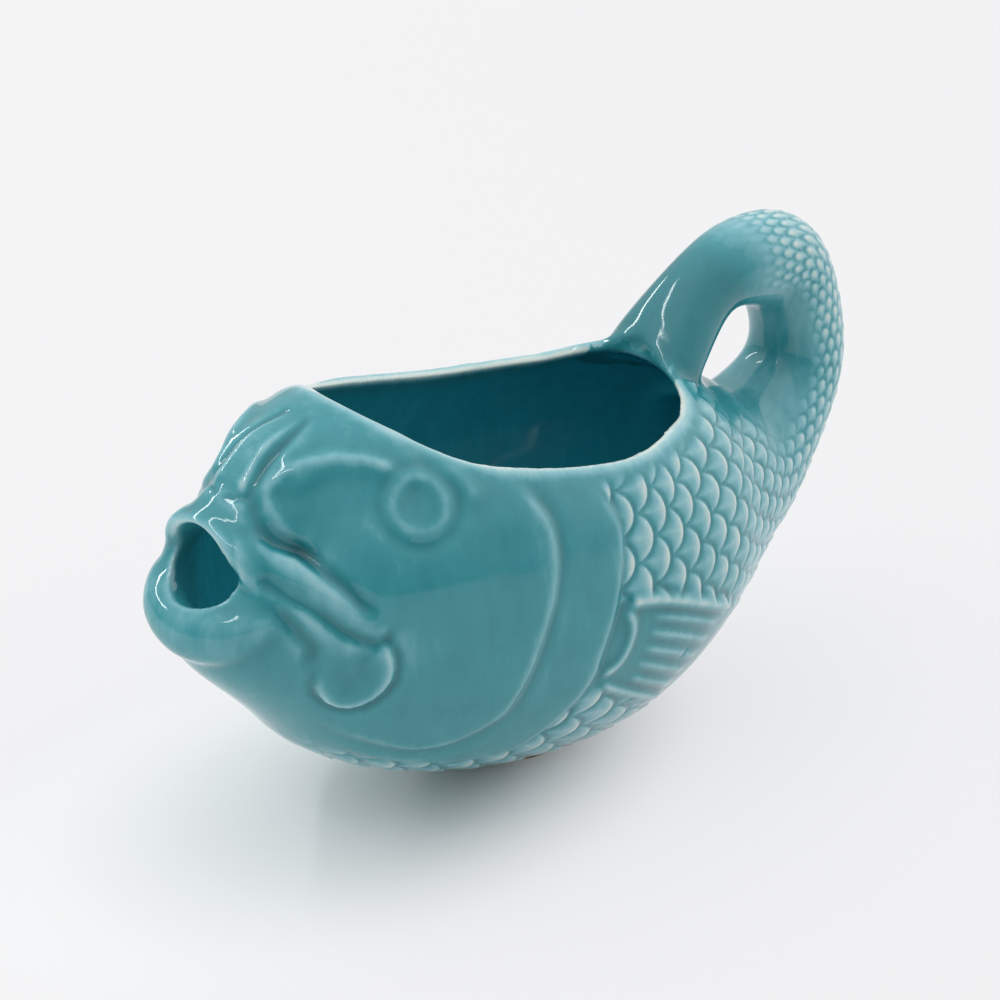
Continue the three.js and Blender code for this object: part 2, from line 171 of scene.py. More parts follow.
def corner_normals(mesh: Mesh) -> Array:
    """Gives the outward directions at a mesh's corners, one row each."""
    directions = np.empty(len(mesh.vertices) * 3)
    mesh.vertex_normals.foreach_get("vector", directions)
    return directions.reshape(-1, 3)


def place_corners(mesh: Mesh, places: Array) -> None:
    """Moves all corners of a mesh."""
    mesh.vertices.foreach_set("co", places.ravel())
    mesh.update()


def neighbours(mesh: Mesh) -> tuple[Array, Array]:
    """Finds which corners are joined by edges.

    Args:
        mesh: the mesh.

    Returns:
        The first and the second corner of every edge, as two rows.
    """
    pairs = np.empty(len(mesh.edges) * 2, np.int64)
    mesh.edges.foreach_get("vertices", pairs)
    a, b = pairs.reshape(-1, 2).T
    return a, b


def spread(mesh: Mesh, values: Array, rounds: int) -> Array:
    """Evens values out over the corners of a mesh.

    Args:
        mesh: the mesh.
        values: one row of values for each corner.
        rounds: how often each corner takes half of its value from its neighbours.

    Returns:
        The evened values.
    """
    a, b = neighbours(mesh)
    count = len(values)
    degree = np.bincount(a, minlength=count) + np.bincount(b, minlength=count)
    table = values.reshape(count, -1).astype(float)
    for _ in range(rounds):
        mean = np.empty_like(table)
        for column in range(table.shape[1]):
            one = table[:, column]
            mean[:, column] = np.bincount(a, one[b], count) + np.bincount(b, one[a], count)
        table = (table + mean / degree[:, None]) / 2
    return table.reshape(values.shape)


def soften(piece: Piece, share: Array, rounds: int) -> None:
    """Smooths a part of a mesh.

    Args:
        piece: the object.
        share: how strongly each corner is smoothed, from 0 to 1.
        rounds: how often.
    """
    group = piece.vertex_groups.new(name="soft")
    level = np.round(np.clip(share, 0, 1) * SOFT_LEVELS).astype(int)
    for step in range(1, SOFT_LEVELS + 1):
        group.add(np.flatnonzero(level == step).tolist(), step / SOFT_LEVELS, "REPLACE")
    modify(piece, "SMOOTH", factor=0.5, iterations=rounds, vertex_group=group.name)
    piece.vertex_groups.clear()


def ease(low: float, high: float, value: Array) -> Array:
    """Rises smoothly from 0 at low to 1 at high, or falls if low is the larger."""
    t = np.clip((value - low) / (high - low), 0, 1)
    return t * t * (3 - 2 * t)


def hump(value: Array, centre: float, width: float) -> Array:
    """A soft hump of height 1 at the centre."""
    return np.exp(-(((value - centre) / width) ** 2))


def tree_of(points: Array) -> KDTree:
    """Builds a tree that finds the nearest of some points.

    Args:
        points: the points, one row each.

    Returns:
        The tree, which gives their row numbers.
    """
    tree = KDTree(len(points))
    for index, point in enumerate(points):
        tree.insert(point, index)
    tree.balance()
    return tree


def triangles(piece: Piece) -> int:
    """Counts the triangles of an object."""
    return sum(len(face.vertices) - 2 for face in piece.data.polygons)


def close_edit() -> None:
    """Turns all faces of the mesh in edit mode outwards and leaves edit mode."""
    bpy.ops.mesh.select_all(action="SELECT")
    bpy.ops.mesh.normals_make_consistent(inside=False)
    bpy.ops.object.mode_set(mode="OBJECT")


def add_disc(name: str, sides: int, turn: Point) -> Piece:
    """Adds a filled disc of radius 1.

    Args:
        name: what to call it.
        sides: how many corners it has.
        turn: how it is turned about each axis.

    Returns:
        The disc, with its turn applied.
    """
    deselect()
    bpy.ops.mesh.primitive_circle_add(vertices=sides, radius=1, fill_type="NGON", rotation=turn)
    disc = bpy.context.object
    disc.name = name
    bpy.ops.object.transform_apply(location=True, rotation=True, scale=True)
    return disc


# The form of the fish


@dataclass(frozen=True)
class Section:
    """One oval section of the fish, square to the spine."""

    x: float
    z: float
    half_height: float
    half_width: float


MOUTH = Section(-104, 83, 13.5, 16)
SNOUT = Section(-94, 75.5, 26, 26.5)
CHEEK = Section(-75, 71, 43, 38)
GILL = Section(-44, 64, 54, 46.5)
BELLY = Section(0, 54, 55.5, 47.5)
LOIN = Section(34, 53, 47.5, 41)
FLANK = Section(58, 53.8, 34.8, 30)
TAIL_ROOT = Section(81.2, 58.8, 21.6, 20)
TAIL_BEND = Section(101.3, 80, 14.4, 13.5)
TAIL_RISE = Section(93.5, 108, 13.5, 13)
TAIL_TOP = Section(78.5, 113, 12.5, 13.2)
TAIL_FALL = Section(63.1, 110.7, 10, 11)
TAIL_LANDING = Section(46.6, 97.2, 10.2, 14.6)
TAIL_TIP = Section(35.5, 85, 5, 19)
SECTIONS = [
    MOUTH, SNOUT, CHEEK, GILL, BELLY, LOIN, FLANK,
    TAIL_ROOT, TAIL_BEND, TAIL_RISE, TAIL_TOP, TAIL_FALL, TAIL_LANDING, TAIL_TIP,
]
AT_GILL, AT_LOIN, AT_FLANK, AT_ROOT, AT_TOP, AT_TIP = (
    float(SECTIONS.index(section)) for section in (GILL, LOIN, FLANK, TAIL_ROOT, TAIL_TOP, TAIL_TIP))


class Spine:
    """A smooth spine through oval sections. A place on it counts sections from the first one."""

    GRID_PLACES = 260
    GRID_ANGLES = 40
    FIT_ROUNDS = 4
    FIT_STEP = 0.1

    def __init__(self, sections: list[Section] | tuple[Section, ...]) -> None:
        """Takes the sections in order."""
        rows = np.array([[s.x, s.z, s.half_height, s.half_width] for s in sections])
        self.last = len(rows) - 1.0
        self.rows = np.vstack([2 * rows[0] - rows[1], rows, 2 * rows[-1] - rows[-2]])

    def sample(self, place: Array) -> tuple[Array, Array]:
        """Gives the sections at some places.

        Args:
            place: the places.

        Returns:
            Rows of x, z, half height and half width, and how fast those change with the place.
        """
        place = np.clip(place, 0, self.last)
        first = np.minimum(place.astype(int), int(self.last) - 1)
        t = (place - first)[:, None]
        a, b, c, d = (self.rows[first + i] for i in range(4))
        linear = c - a
        square = 2 * a - 5 * b + 4 * c - d
        cube = 3 * b - a - 3 * c + d
        value = b + (linear * t + square * t**2 + cube * t**3) / 2
        slope = (linear + 2 * square * t + 3 * cube * t**2) / 2
        return value, slope

    def heading(self, place: Array) -> tuple[Array, Array]:
        """Gives the sections at some places, and the spine's directions there in side view."""
        value, slope = self.sample(place)
        return value, slope[:, :2] / np.linalg.norm(slope[:, :2], axis=1)[:, None]

    def surface(self, place: Array, angle: Array) -> Array:
        """Finds points on the skin.

        Args:
            place: their places on the spine.
            angle: their angles, counted from +Y towards the back.

        Returns:
            The points, one row each.
        """
        value, along = self.heading(place)
        rise = value[:, 2] * np.sin(angle)
        return np.column_stack([
            value[:, 0] - rise * along[:, 1],
            value[:, 3] * np.cos(angle),
            value[:, 1] + rise * along[:, 0],
        ])

    def locate(self, points: Array) -> tuple[Array, Array, Array]:
        """Finds where points lie along and around the fish.

        Args:
            points: the points, one row each.

        Returns:
            The place of each on the spine, its angle from +Y towards the back, and how far out of
            the fish it lies in millimetres.
        """
        places = np.repeat(np.linspace(0, self.last, self.GRID_PLACES), self.GRID_ANGLES)
        around = np.linspace(0, 2 * np.pi, self.GRID_ANGLES, endpoint=False)
        tree = tree_of(self.surface(places, np.tile(around, self.GRID_PLACES)))
        place = places[[tree.find(row)[1] for row in points]]
        for _ in range(self.FIT_ROUNDS):
            value, slope = self.sample(place)
            offset = points[:, [0, 2]] - value[:, :2]
            gap = (offset * slope[:, :2]).sum(1)
            steep = (slope[:, :2] ** 2).sum(1)
            step = np.clip(gap / steep, -self.FIT_STEP, self.FIT_STEP)
            place = np.clip(place + step, 0, self.last)
        value, along = self.heading(place)
        offset = points[:, [0, 2]] - value[:, :2]
        height = (offset[:, 1] * along[:, 0] - offset[:, 0] * along[:, 1]) / value[:, 2]
        width = points[:, 1] / value[:, 3]
        size = np.sqrt(value[:, 2] * value[:, 3])
        return place, np.arctan2(height, width), (np.hypot(height, width) - 1) * size


FISH = Spine(SECTIONS)


@dataclass
class OvalTube:
    """A closed tube of oval sections, drawn out ring by ring along a spine."""

    name: str
    spine: Spine
    end: float
    rings: int
    sides: int = 48

    def build(self) -> Piece:
        """Draws the tube from a disc that is extruded, tilted and resized from ring to ring.

        Returns:
            The tube, smoothed by one subdivision.
        """
        value, slope = self.spine.sample(np.linspace(0, self.end, self.rings))
        tilt = np.unwrap(np.arctan2(slope[:, 1], slope[:, 0]))
        halves = value[:, 2:]
        tube = add_disc(self.name, self.sides, (0, math.pi / 2, 0))
        bpy.ops.object.mode_set(mode="EDIT")
        bpy.ops.mesh.select_all(action="SELECT")
        before_tilt, before_halves, before = 0.0, np.ones(2), np.zeros(2)
        for ring in range(self.rings):
            step = value[ring, :2] - before
            move = {"value": (step[0], 0, step[1])}
            centre = (value[ring, 0], 0, value[ring, 1])
            if ring:
                bpy.ops.mesh.extrude_region_move(TRANSFORM_OT_translate=move)
            else:
                bpy.ops.transform.translate(**move)
            turn = {"orient_axis": "Y", "center_override": centre}
            size = halves[ring] / before_halves
            bpy.ops.transform.rotate(value=-before_tilt, **turn)
            bpy.ops.transform.resize(value=(1, size[1], size[0]), center_override=centre)
            bpy.ops.transform.rotate(value=float(tilt[ring]), **turn)
            before_tilt, before_halves, before = float(tilt[ring]), halves[ring], value[ring, :2]
        close_edit()
        modify(tube, "SUBSURF", levels=1, render_levels=1)
        return tube


@dataclass
class Roll:
    """A roll of clay along a path of points that have their own radii."""

    name: str
    path: Path
    steps: int = 8
    roundness: int = 4

    def build(self) -> Piece:
        """Draws the roll as a bevelled curve and makes it a mesh.

        Returns:
            The closed roll.
        """
        deselect()
        bpy.ops.curve.primitive_bezier_curve_add()
        roll = bpy.context.object
        roll.name = self.name
        spline = roll.data.splines[0]
        spline.bezier_points.add(len(self.path) - 2)
        for knot, (x, y, z, radius) in zip(spline.bezier_points, self.path):
            knot.co = (x, y, z)
            knot.radius = radius
            knot.handle_left_type = knot.handle_right_type = "AUTO"
        spline.resolution_u = self.steps
        roll.data.bevel_depth = 1.0
        roll.data.bevel_resolution = self.roundness
        roll.data.use_fill_caps = True
        bpy.ops.object.convert(target="MESH")
        roll = bpy.context.object
        clean(roll)
        return roll


def side_block(name: str, outline: Outline, reach: float) -> Piece:
    """Builds a block from its outline in side view.

    Args:
        name: what to call it.
        outline: the corners (x, z) in order.
        reach: how far it goes to both sides.

    Returns:
        The block.
    """
    block = add_disc(name, len(outline), (math.pi / 2, 0, 0))
    for corner, (x, z) in zip(block.data.vertices, outline):
        corner.co = (x, -reach, z)
    bpy.ops.object.mode_set(mode="EDIT")
    bpy.ops.mesh.select_all(action="SELECT")
    bpy.ops.mesh.extrude_region_move(TRANSFORM_OT_translate={"value": (0, 2 * reach, 0)})
    close_edit()
    return block


def slab(name: str, top: Points, foot: Points, side: int) -> Piece:
    """Builds a slab of clay between two paths on the left flank.

    Args:
        name: what to call it.
        top: the points of its upper border.
        foot: as many points of its lower border.
        side: 1 for the left flank, -1 for the mirrored slab on the right.

    Returns:
        The closed slab.
    """
    deselect()
    bpy.ops.mesh.primitive_grid_add(x_subdivisions=len(top) - 1, y_subdivisions=1)
    piece = bpy.context.object
    piece.name = name
    for corner, (x, y, z) in zip(piece.data.vertices, foot + top):
        corner.co = (x, side * y, z)
    modify(piece, "SOLIDIFY", thickness=SLAB_THICKNESS, offset=side)
    clean(piece)
    return piece


def cut(piece: Piece, cutter: Piece, operation: str = "DIFFERENCE") -> None:
    """Cuts a piece with a solid, which is used up."""
    modify(piece, "BOOLEAN", operation=operation, object=cutter, solver="MANIFOLD")
    remove(cutter)


def mirrored(path: Path) -> Path:
    """Gives a path as it runs on the other flank."""
    return tuple((x, -y, z, radius) for x, y, z, radius in path)


def across(half: Path) -> Path:
    """Gives the whole of a path that runs from the left over the middle to the right."""
    return half + mirrored(half[:-1])[::-1]


@dataclass
class Clay:
    """The raw form of the fish: outside, bowl, mouth and tail, before it is carved."""

    voxel: float
    wall: float = 2.8
    blend_voxel: float = 0.9
    blend_rounds: int = 22
    edge_rounds: int = 8
    tube_rings: int = 13 * 8 + 1
    forehead_rings: int = 13
    lower_lip: Path = (
        (-95, -21, 75.5, 2), (-101.5, -18, 74.2, 4.8), (-106.8, -10.5, 70.6, 7.4), (-108.8, 0, 69, 8))
    upper_lip: Path = (
        (-101, -15.5, 79, 2), (-101.6, -15.2, 84, 2.8), (-102.6, -12, 88.4, 3), (-103.4, -6, 91.6, 3),
        (-103.6, 0, 92.8, 3))
    jaw: Path = (
        (-81, -33.6, 70, 1.8), (-83.4, -31.2, 73.8, 3.2), (-86.8, -27.4, 78.2, 4),
        (-90.4, -22.2, 82.2, 4.3), (-94.6, -15.8, 86.2, 4.2), (-98.6, -10, 90, 3.4),
        (-100.5, -5, 92, 2.6))
    forehead: tuple[Section, ...] = (
        Section(-99, 84.2, 11, 12), Section(-94, 87, 13.5, 14.5), Section(-88, 89.5, 16, 18.5),
        Section(-78, 90.6, 20, 24.5), Section(-68, 93.2, 21.8, 28.5), Section(-56, 95, 21.5, 32))
    nose: Path = (
        (-95, 0, 97.5, 4.5), (-88.7, 0, 103.2, 5.2), (-85, 0, 105.8, 5), (-79, 0, 107.3, 5),
        (-73, 0, 108, 5), (-62, 0, 110.5, 5))
    brow: Path = (
        (-61, -28, 99.4, 1), (-65.8, -25.4, 102, 2.2), (-70, -22, 104.4, 3), (-74.3, -17.6, 105, 4),
        (-79.1, -13.8, 104.8, 4.5), (-83.9, -11.6, 103.4, 4.5), (-87.2, -10, 100.2, 4.4),
        (-89.6, -10.6, 97, 3.6), (-90, -13.6, 93.5, 2.6), (-88.8, -17.6, 90.2, 1.5))
    cheek_top: Points = (
        (-66.6, -26.1, 104), (-70, -23.8, 106.1), (-73.7, -20.8, 107.5), (-77.8, -17.6, 107.7),
        (-81.8, -14.9, 107.2), (-85.9, -12.3, 106.2), (-89.2, -10.6, 104.4), (-91.4, -9.4, 102),
        (-92.3, -9.7, 100.3), (-92.7, -11.8, 97.5), (-92.4, -14.2, 94.9), (-91.5, -16.1, 92.7),
        (-90.5, -17.7, 90.7))
    cheek_foot: Points = (
        (-67, -33.4, 92.6), (-70, -33.8, 91), (-74, -33, 89.5), (-77, -32.2, 88.5), (-79.5, -31, 88),
        (-81.5, -30, 87.5), (-83, -28.8, 87.5), (-84, -27.8, 87.7), (-84.8, -27, 88),
        (-85.5, -26.2, 88.2), (-86, -25.4, 88.5), (-86.5, -24.6, 88.7), (-87, -23.8, 89))
    fold: Path = (
        (-68, -5, 110, 3), (-74, -6, 108.4, 4.4), (-80, -6.8, 106.2, 5), (-85, -7.6, 103.8, 5),
        (-89.5, -7.4, 100.8, 4.6), (-93, -7.6, 97.4, 3.6))
    rim: Outline = (
        (-72, 121), (-67.8, 115.6), (-61.7, 111.1), (-43.4, 101.6), (-4.4, 92.2), (22, 91.2),
        (29, 91.8), (35.4, 95), (38.2, 101.5), (39, 110))
    mouth_hollow: tuple[Section, ...] = (
        Section(-122, 91, 11, 12.5), Section(-103, 82, 10, 11.8), Section(-92, 76, 19, 20))
    hollow_end: Section = Section(70, 57, 20, 16)
    hollow_rings: int = 12
    bowl_floor: float = 1.4
    underside: float = 1.7
    rim_lean: float = 0.04
    rim_reach: float = 60.0
    rim_top: float = 140.0
    rim_rounds: int = 24
    rim_soft: Span = (4.0, 1.5)
    rim_points: int = 200
    opening_points: int = 49
    bead_drop: float = 0.8
    bead_points: int = 26
    bead_guess: float = -25.0
    bead_tries: int = 3
    bead_least: float = 0.1
    beside: float = -100.0
    bead_taper: Span = (-54, -40)
    bead_inner: float = -4.0
    bead_back: Span = (1.4, 0.6)
    loop_centre: Span = (77, 88)
    loop_soft: Span = (31, 20)
    loop_rounds: int = 140

    def outside(self) -> Piece:
        """Builds the outside of the fish as one mass of clay.

        Returns:
            The mass, with soft joints between its members.
        """
        members = [
            OvalTube("fish", FISH, AT_TIP, self.tube_rings).build(),
            Roll("lower_lip_clay", across(self.lower_lip)).build(),
            Roll("upper_lip_clay", across(self.upper_lip)).build(),
            Roll("left_jaw_clay", self.jaw).build(),
            Roll("right_jaw_clay", mirrored(self.jaw)).build(),
            Roll("nose_clay", self.nose).build(),
            Roll("left_brow_clay", self.brow).build(),
            Roll("right_brow_clay", mirrored(self.brow)).build(),
            slab("left_cheek_clay", self.cheek_top, self.cheek_foot, 1),
            slab("right_cheek_clay", self.cheek_top, self.cheek_foot, -1),
            Roll("left_fold_clay", self.fold).build(),
            Roll("right_fold_clay", mirrored(self.fold)).build(),
            OvalTube(
                "forehead_clay", Spine(self.forehead), len(self.forehead) - 1, self.forehead_rings).build(),
        ]
        mass = join(members)
        modify(mass, "REMESH", mode="VOXEL", voxel_size=self.blend_voxel, adaptivity=0)
        modify(mass, "SMOOTH", factor=0.5, iterations=self.blend_rounds)
        from_loop = corners(mass.data)[:, [0, 2]] - self.loop_centre
        soften(mass, ease(*self.loop_soft, np.hypot(*from_loop.T)), self.loop_rounds)
        return mass

    def hollow(self) -> Piece:
        """Builds the hollow inside the fish, out through the mouth.

        Returns:
            The hollow as a solid.
        """
        wall = self.wall
        inside = list(self.mouth_hollow)
        for s in (CHEEK, GILL, BELLY, LOIN, FLANK):
            inside.append(Section(s.x, s.z, s.half_height - wall, s.half_width - wall))
        inside.append(self.hollow_end)
        rings = self.hollow_rings * len(inside)
        hollow = OvalTube("hollow", Spine(inside), len(inside) - 1, rings).build()
        cut(hollow, self.ground(self.underside + self.bowl_floor * wall))
        return hollow

    def ground(self, top: float) -> Piece:
        """Builds a block of all that lies under a height."""
        reach = 2 * self.rim_top
        return side_block("ground", ((-reach, -reach), (reach, -reach), (reach, top), (-reach, top)), reach)

    def rim_line(self, count: int, trim: float = 0.0) -> Array:
        """Gives points along the rim in side view.

        Args:
            count: how many.
            trim: how much is left out at both ends, in knots.

        Returns:
            Rows of x and z.
        """
        knots = Spine([Section(x, z, 1, 1) for x, z in self.rim])
        value, _ = knots.sample(np.linspace(trim, knots.last - trim, count))
        return value[:, :2]

    def opening(self) -> Piece:
        """Builds the block that opens the back of the fish down to the rim.

        Returns:
            The block.
        """
        outline = [(x, z) for x, z in self.rim_line(self.opening_points)]
        outline += [(outline[-1][0], self.rim_top), (outline[0][0], self.rim_top)]
        block = side_block("opening", outline, self.rim_reach)
        for corner in block.data.vertices:
            corner.co.z += self.rim_lean * corner.co.y
        return block

    def build(self) -> Piece:
        """Builds the whole form.

        Returns:
            The fish as one closed mesh of even, small faces.
        """
        fish = self.outside()
        bead = self.rim_bead(fish)
        for cutter in (self.hollow(), self.opening(), self.ground(self.underside)):
            cut(fish, cutter)
        fish = join([fish, bead])
        modify(fish, "REMESH", mode="VOXEL", voxel_size=self.voxel, adaptivity=0)
        near_rim = ease(*self.rim_soft, self.rim_distance(corners(fish.data)))
        soften(fish, near_rim, round(self.rim_rounds / self.voxel**2))
        modify(fish, "SMOOTH", factor=0.5, iterations=self.edge_rounds)
        return fish

    def rim_bead(self, mass: Piece) -> Piece:
        """Rolls the bead that rounds the rim, from the head along one flank and back along the other.

        Args:
            mass: the outside of the fish, not yet opened.

        Returns:
            The bead.
        """
        surface = BVHTree.FromObject(mass, bpy.context.evaluated_depsgraph_get())
        half = []
        for x, z in self.rim_line(self.bead_points, 1):
            y = self.bead_guess
            for _ in range(self.bead_tries):
                beside = Vector((x, self.beside, z + self.rim_lean * y))
                hit = surface.ray_cast(beside, Vector((0, 1, 0)))[0]
                y = hit.y if hit is not None else y
            radius = self.wall / 2 * float(ease(*self.bead_taper, x))
            if hit is not None and y < self.bead_inner and radius > self.bead_least:
                half.append((x, y + self.wall / 2, z - self.bead_drop, radius))
        x, _, z, radius = half[-1]
        back_x, back_z = self.bead_back
        path = across((*half, (x + back_x, 0, z + back_z, radius)))
        leaning = tuple((x, y, z + self.rim_lean * y, radius) for x, y, z, radius in path)
        return Roll("rim_clay", leaning).build()

    def rim_distance(self, points: Array) -> Array:
        """Measures how far points lie from the rim's edge, in side view.

        Args:
            points: the points, one row each.

        Returns:
            The distances.
        """
        level = points[:, 2] - self.rim_lean * points[:, 1]
        gap = np.full(len(points), np.inf)
        for x, z in self.rim_line(self.rim_points):
            gap = np.minimum(gap, np.hypot(points[:, 0] - x, level - z))
        return gap


# Carving


class Skin:
    """The corners of the raw form, with where each lies on the fish, while it is carved."""

    OUTER = (-2.4, -1.0)
    HEIGHT_ROUNDS = 2
    NORMAL_ROUNDS = 6

    def __init__(self, fish: Piece) -> None:
        """Reads the form that is to be carved.

        Args:
            fish: the raw form.
        """
        self.mesh = fish.data
        self.points = corners(self.mesh)
        self.normals = corner_normals(self.mesh)
        self.fold = np.where(self.points[:, 1:2] > 0, [1.0, -1.0, 1.0], 1.0)
        self.folded = self.points * self.fold
        self.folded_normals = self.normals * self.fold
        self.place, angle, self.out = FISH.locate(self.folded)
        self.rise = np.pi - np.where(angle < -np.pi / 2, angle + 2 * np.pi, angle)
        self.outer = ease(*self.OUTER, self.out)
        self.height = np.zeros(len(self.points))
        self.pale = np.zeros(len(self.points))
        self.surface = BVHTree.FromObject(fish, bpy.context.evaluated_depsgraph_get())

    def settle(self) -> None:
        """Moves the corners out by the carved height."""
        height = spread(self.mesh, self.height * self.outer, self.HEIGHT_ROUNDS)
        calm = spread(self.mesh, self.normals, self.NORMAL_ROUNDS)
        calm /= np.linalg.norm(calm, axis=1)[:, None]
        place_corners(self.mesh, self.points + calm * height[:, None])


@dataclass(frozen=True)
class Line:
    """A line on the left flank, which the right flank mirrors."""

    points: Points

    def lay(self, skin: Skin) -> Array:
        """Lays the line on the skin as a fine polyline.

        Args:
            skin: what it is drawn on.

        Returns:
            The points of the polyline.
        """
        rows = np.array(self.points, float)
        knots = np.vstack([2 * rows[0] - rows[1], rows, 2 * rows[-1] - rows[-2]])
        fine = []
        for i in range(len(rows) - 1):
            p, q, r, t = knots[i:i + 4]
            count = max(int(np.linalg.norm(r - q) / LINE_SPACING), 1)
            for u in np.arange(count) / count:
                curve = (r - p) * u + (2 * p - 5 * q + 4 * r - t) * u**2
                fine.append(q + (curve + (3 * q - p - 3 * r + t) * u**3) / 2)
        fine.append(rows[-1])
        return np.array([skin.surface.find_nearest(Vector(p))[0] for p in fine])

    def measure(self, skin: Skin, reach: float) -> tuple[Array, Array, Array]:
        """Measures how far corners lie from the stroke, along the skin.

        Args:
            skin: the corners.
            reach: how far to look.

        Returns:
            The corners in reach, their distances, positive to the left of the stroke's run, and
            how far along the stroke they lie, from 0 to 1.
        """
        line = self.lay(skin)
        low, high = line.min(0) - reach, line.max(0) + reach
        near = np.flatnonzero(((skin.folded > low) & (skin.folded < high)).all(1) & (skin.outer > 0))
        place, normal = skin.folded[near], skin.folded_normals[near]
        best = np.full(len(near), np.inf)
        signed = np.zeros(len(near))
        share = np.zeros(len(near))
        count = len(line) - 1
        for i in range(count):
            run = line[i + 1] - line[i]
            offset = place - line[i]
            t = np.clip(offset @ run / (run @ run), 0, 1)
            gap = offset - t[:, None] * run
            gap -= (gap * normal).sum(1)[:, None] * normal
            size = np.linalg.norm(gap, axis=1)
            closer = size < best
            side = np.sign((np.cross(run, gap) * normal).sum(1))
            best[closer] = size[closer]
            signed[closer] = (size * np.where(side < 0, -1, 1))[closer]
            share[closer] = ((i + t) / count)[closer]
        keep = best < reach
        return near[keep], signed[keep], share[keep]


@dataclass(frozen=True)
class Stroke(Line):
    """A rounded ridge or a groove along a line, which fades over a share of its length at each end."""

    kind: Sculpt
    depth: float
    width: float
    taper: float = 0.15

    def carve(self, skin: Skin) -> None:
        """Raises or cuts the skin along the stroke."""
        near, gap, share = self.measure(skin, 3 * self.width)
        ends = ease(0, self.taper, share) * ease(1, 1 - self.taper, share)
        skin.height[near] += self.kind.value * self.depth * hump(gap, 0, self.width) * ends


@dataclass(frozen=True)
class Shingle(Line):
    """A line at which the skin rises on the right of its run and ends in a step with a groove."""

    lift: float
    slope: float
    step: float
    groove: float
    start: float = 0.1
    end: float = 0.72
    groove_width: float = 0.7

    def carve(self, skin: Skin) -> tuple[Array, Array]:
        """Raises the skin up to the step, which grows at the start of the line and fades at its end.

        Args:
            skin: what is carved.

        Returns:
            The corners in reach and their signed distances from the line.
        """
        near, gap, share = self.measure(skin, 2 * self.slope)
        ends = ease(0, self.start, share) * ease(1, self.end, share)
        front = ease(-self.slope, 0, gap) * (gap <= 0)
        back = ease(self.step, 0, gap) * (gap > 0)
        valley = hump(gap, self.step, self.step * self.groove_width)
        skin.height[near] += ends * (self.lift * (front + back) - self.groove * valley)
        return near, gap


PLATE_EDGE = {"lift": 1.0, "slope": 14.0, "step": 3.8, "groove": 0.45}


@dataclass
class GillCovers:
    """The two plates behind the head that lie over each other like shingles."""

    cheek: Shingle = Shingle((
        (-42.7, -35, 98), (-36.4, -42, 87), (-36, -44, 80), (-37, -46, 75), (-39, -47, 68.5),
        (-42.4, -47, 60), (-46.8, -44, 47), (-50, -41, 40), (-56, -38, 36), (-62, -34, 34),
        (-70, -30, 35), (-80, -27, 40), (-93, -19, 47.5)), **PLATE_EDGE)
    cover: Shingle = Shingle((
        (-20, -38, 92.6), (-15, -43.5, 81), (-14.8, -45.5, 75), (-18, -48, 63), (-22.6, -47, 49),
        (-24, -46, 42), (-29, -43, 34), (-34.4, -39, 28), (-41, -33.5, 23), (-51, -31, 23.5),
        (-62, -27.5, 26), (-74, -23, 30), (-88, -17, 40)), **PLATE_EDGE)
    far_away: float = 99.0
    rear_from: float = -20.0
    throat: float = 20.0

    def carve(self, skin: Skin) -> Array:
        """Carves both edges.

        Args:
            skin: what is carved.

        Returns:
            How far each corner lies behind the rear edge; corners out of reach get a large value
            with the sign of their side.
        """
        x, _, z = skin.folded.T
        rear = (x > self.rear_from) | (z < self.throat)
        behind = np.where(rear, self.far_away, -self.far_away)
        self.cheek.carve(skin)
        near, gap = self.cover.carve(skin)
        behind[near] = gap
        return behind


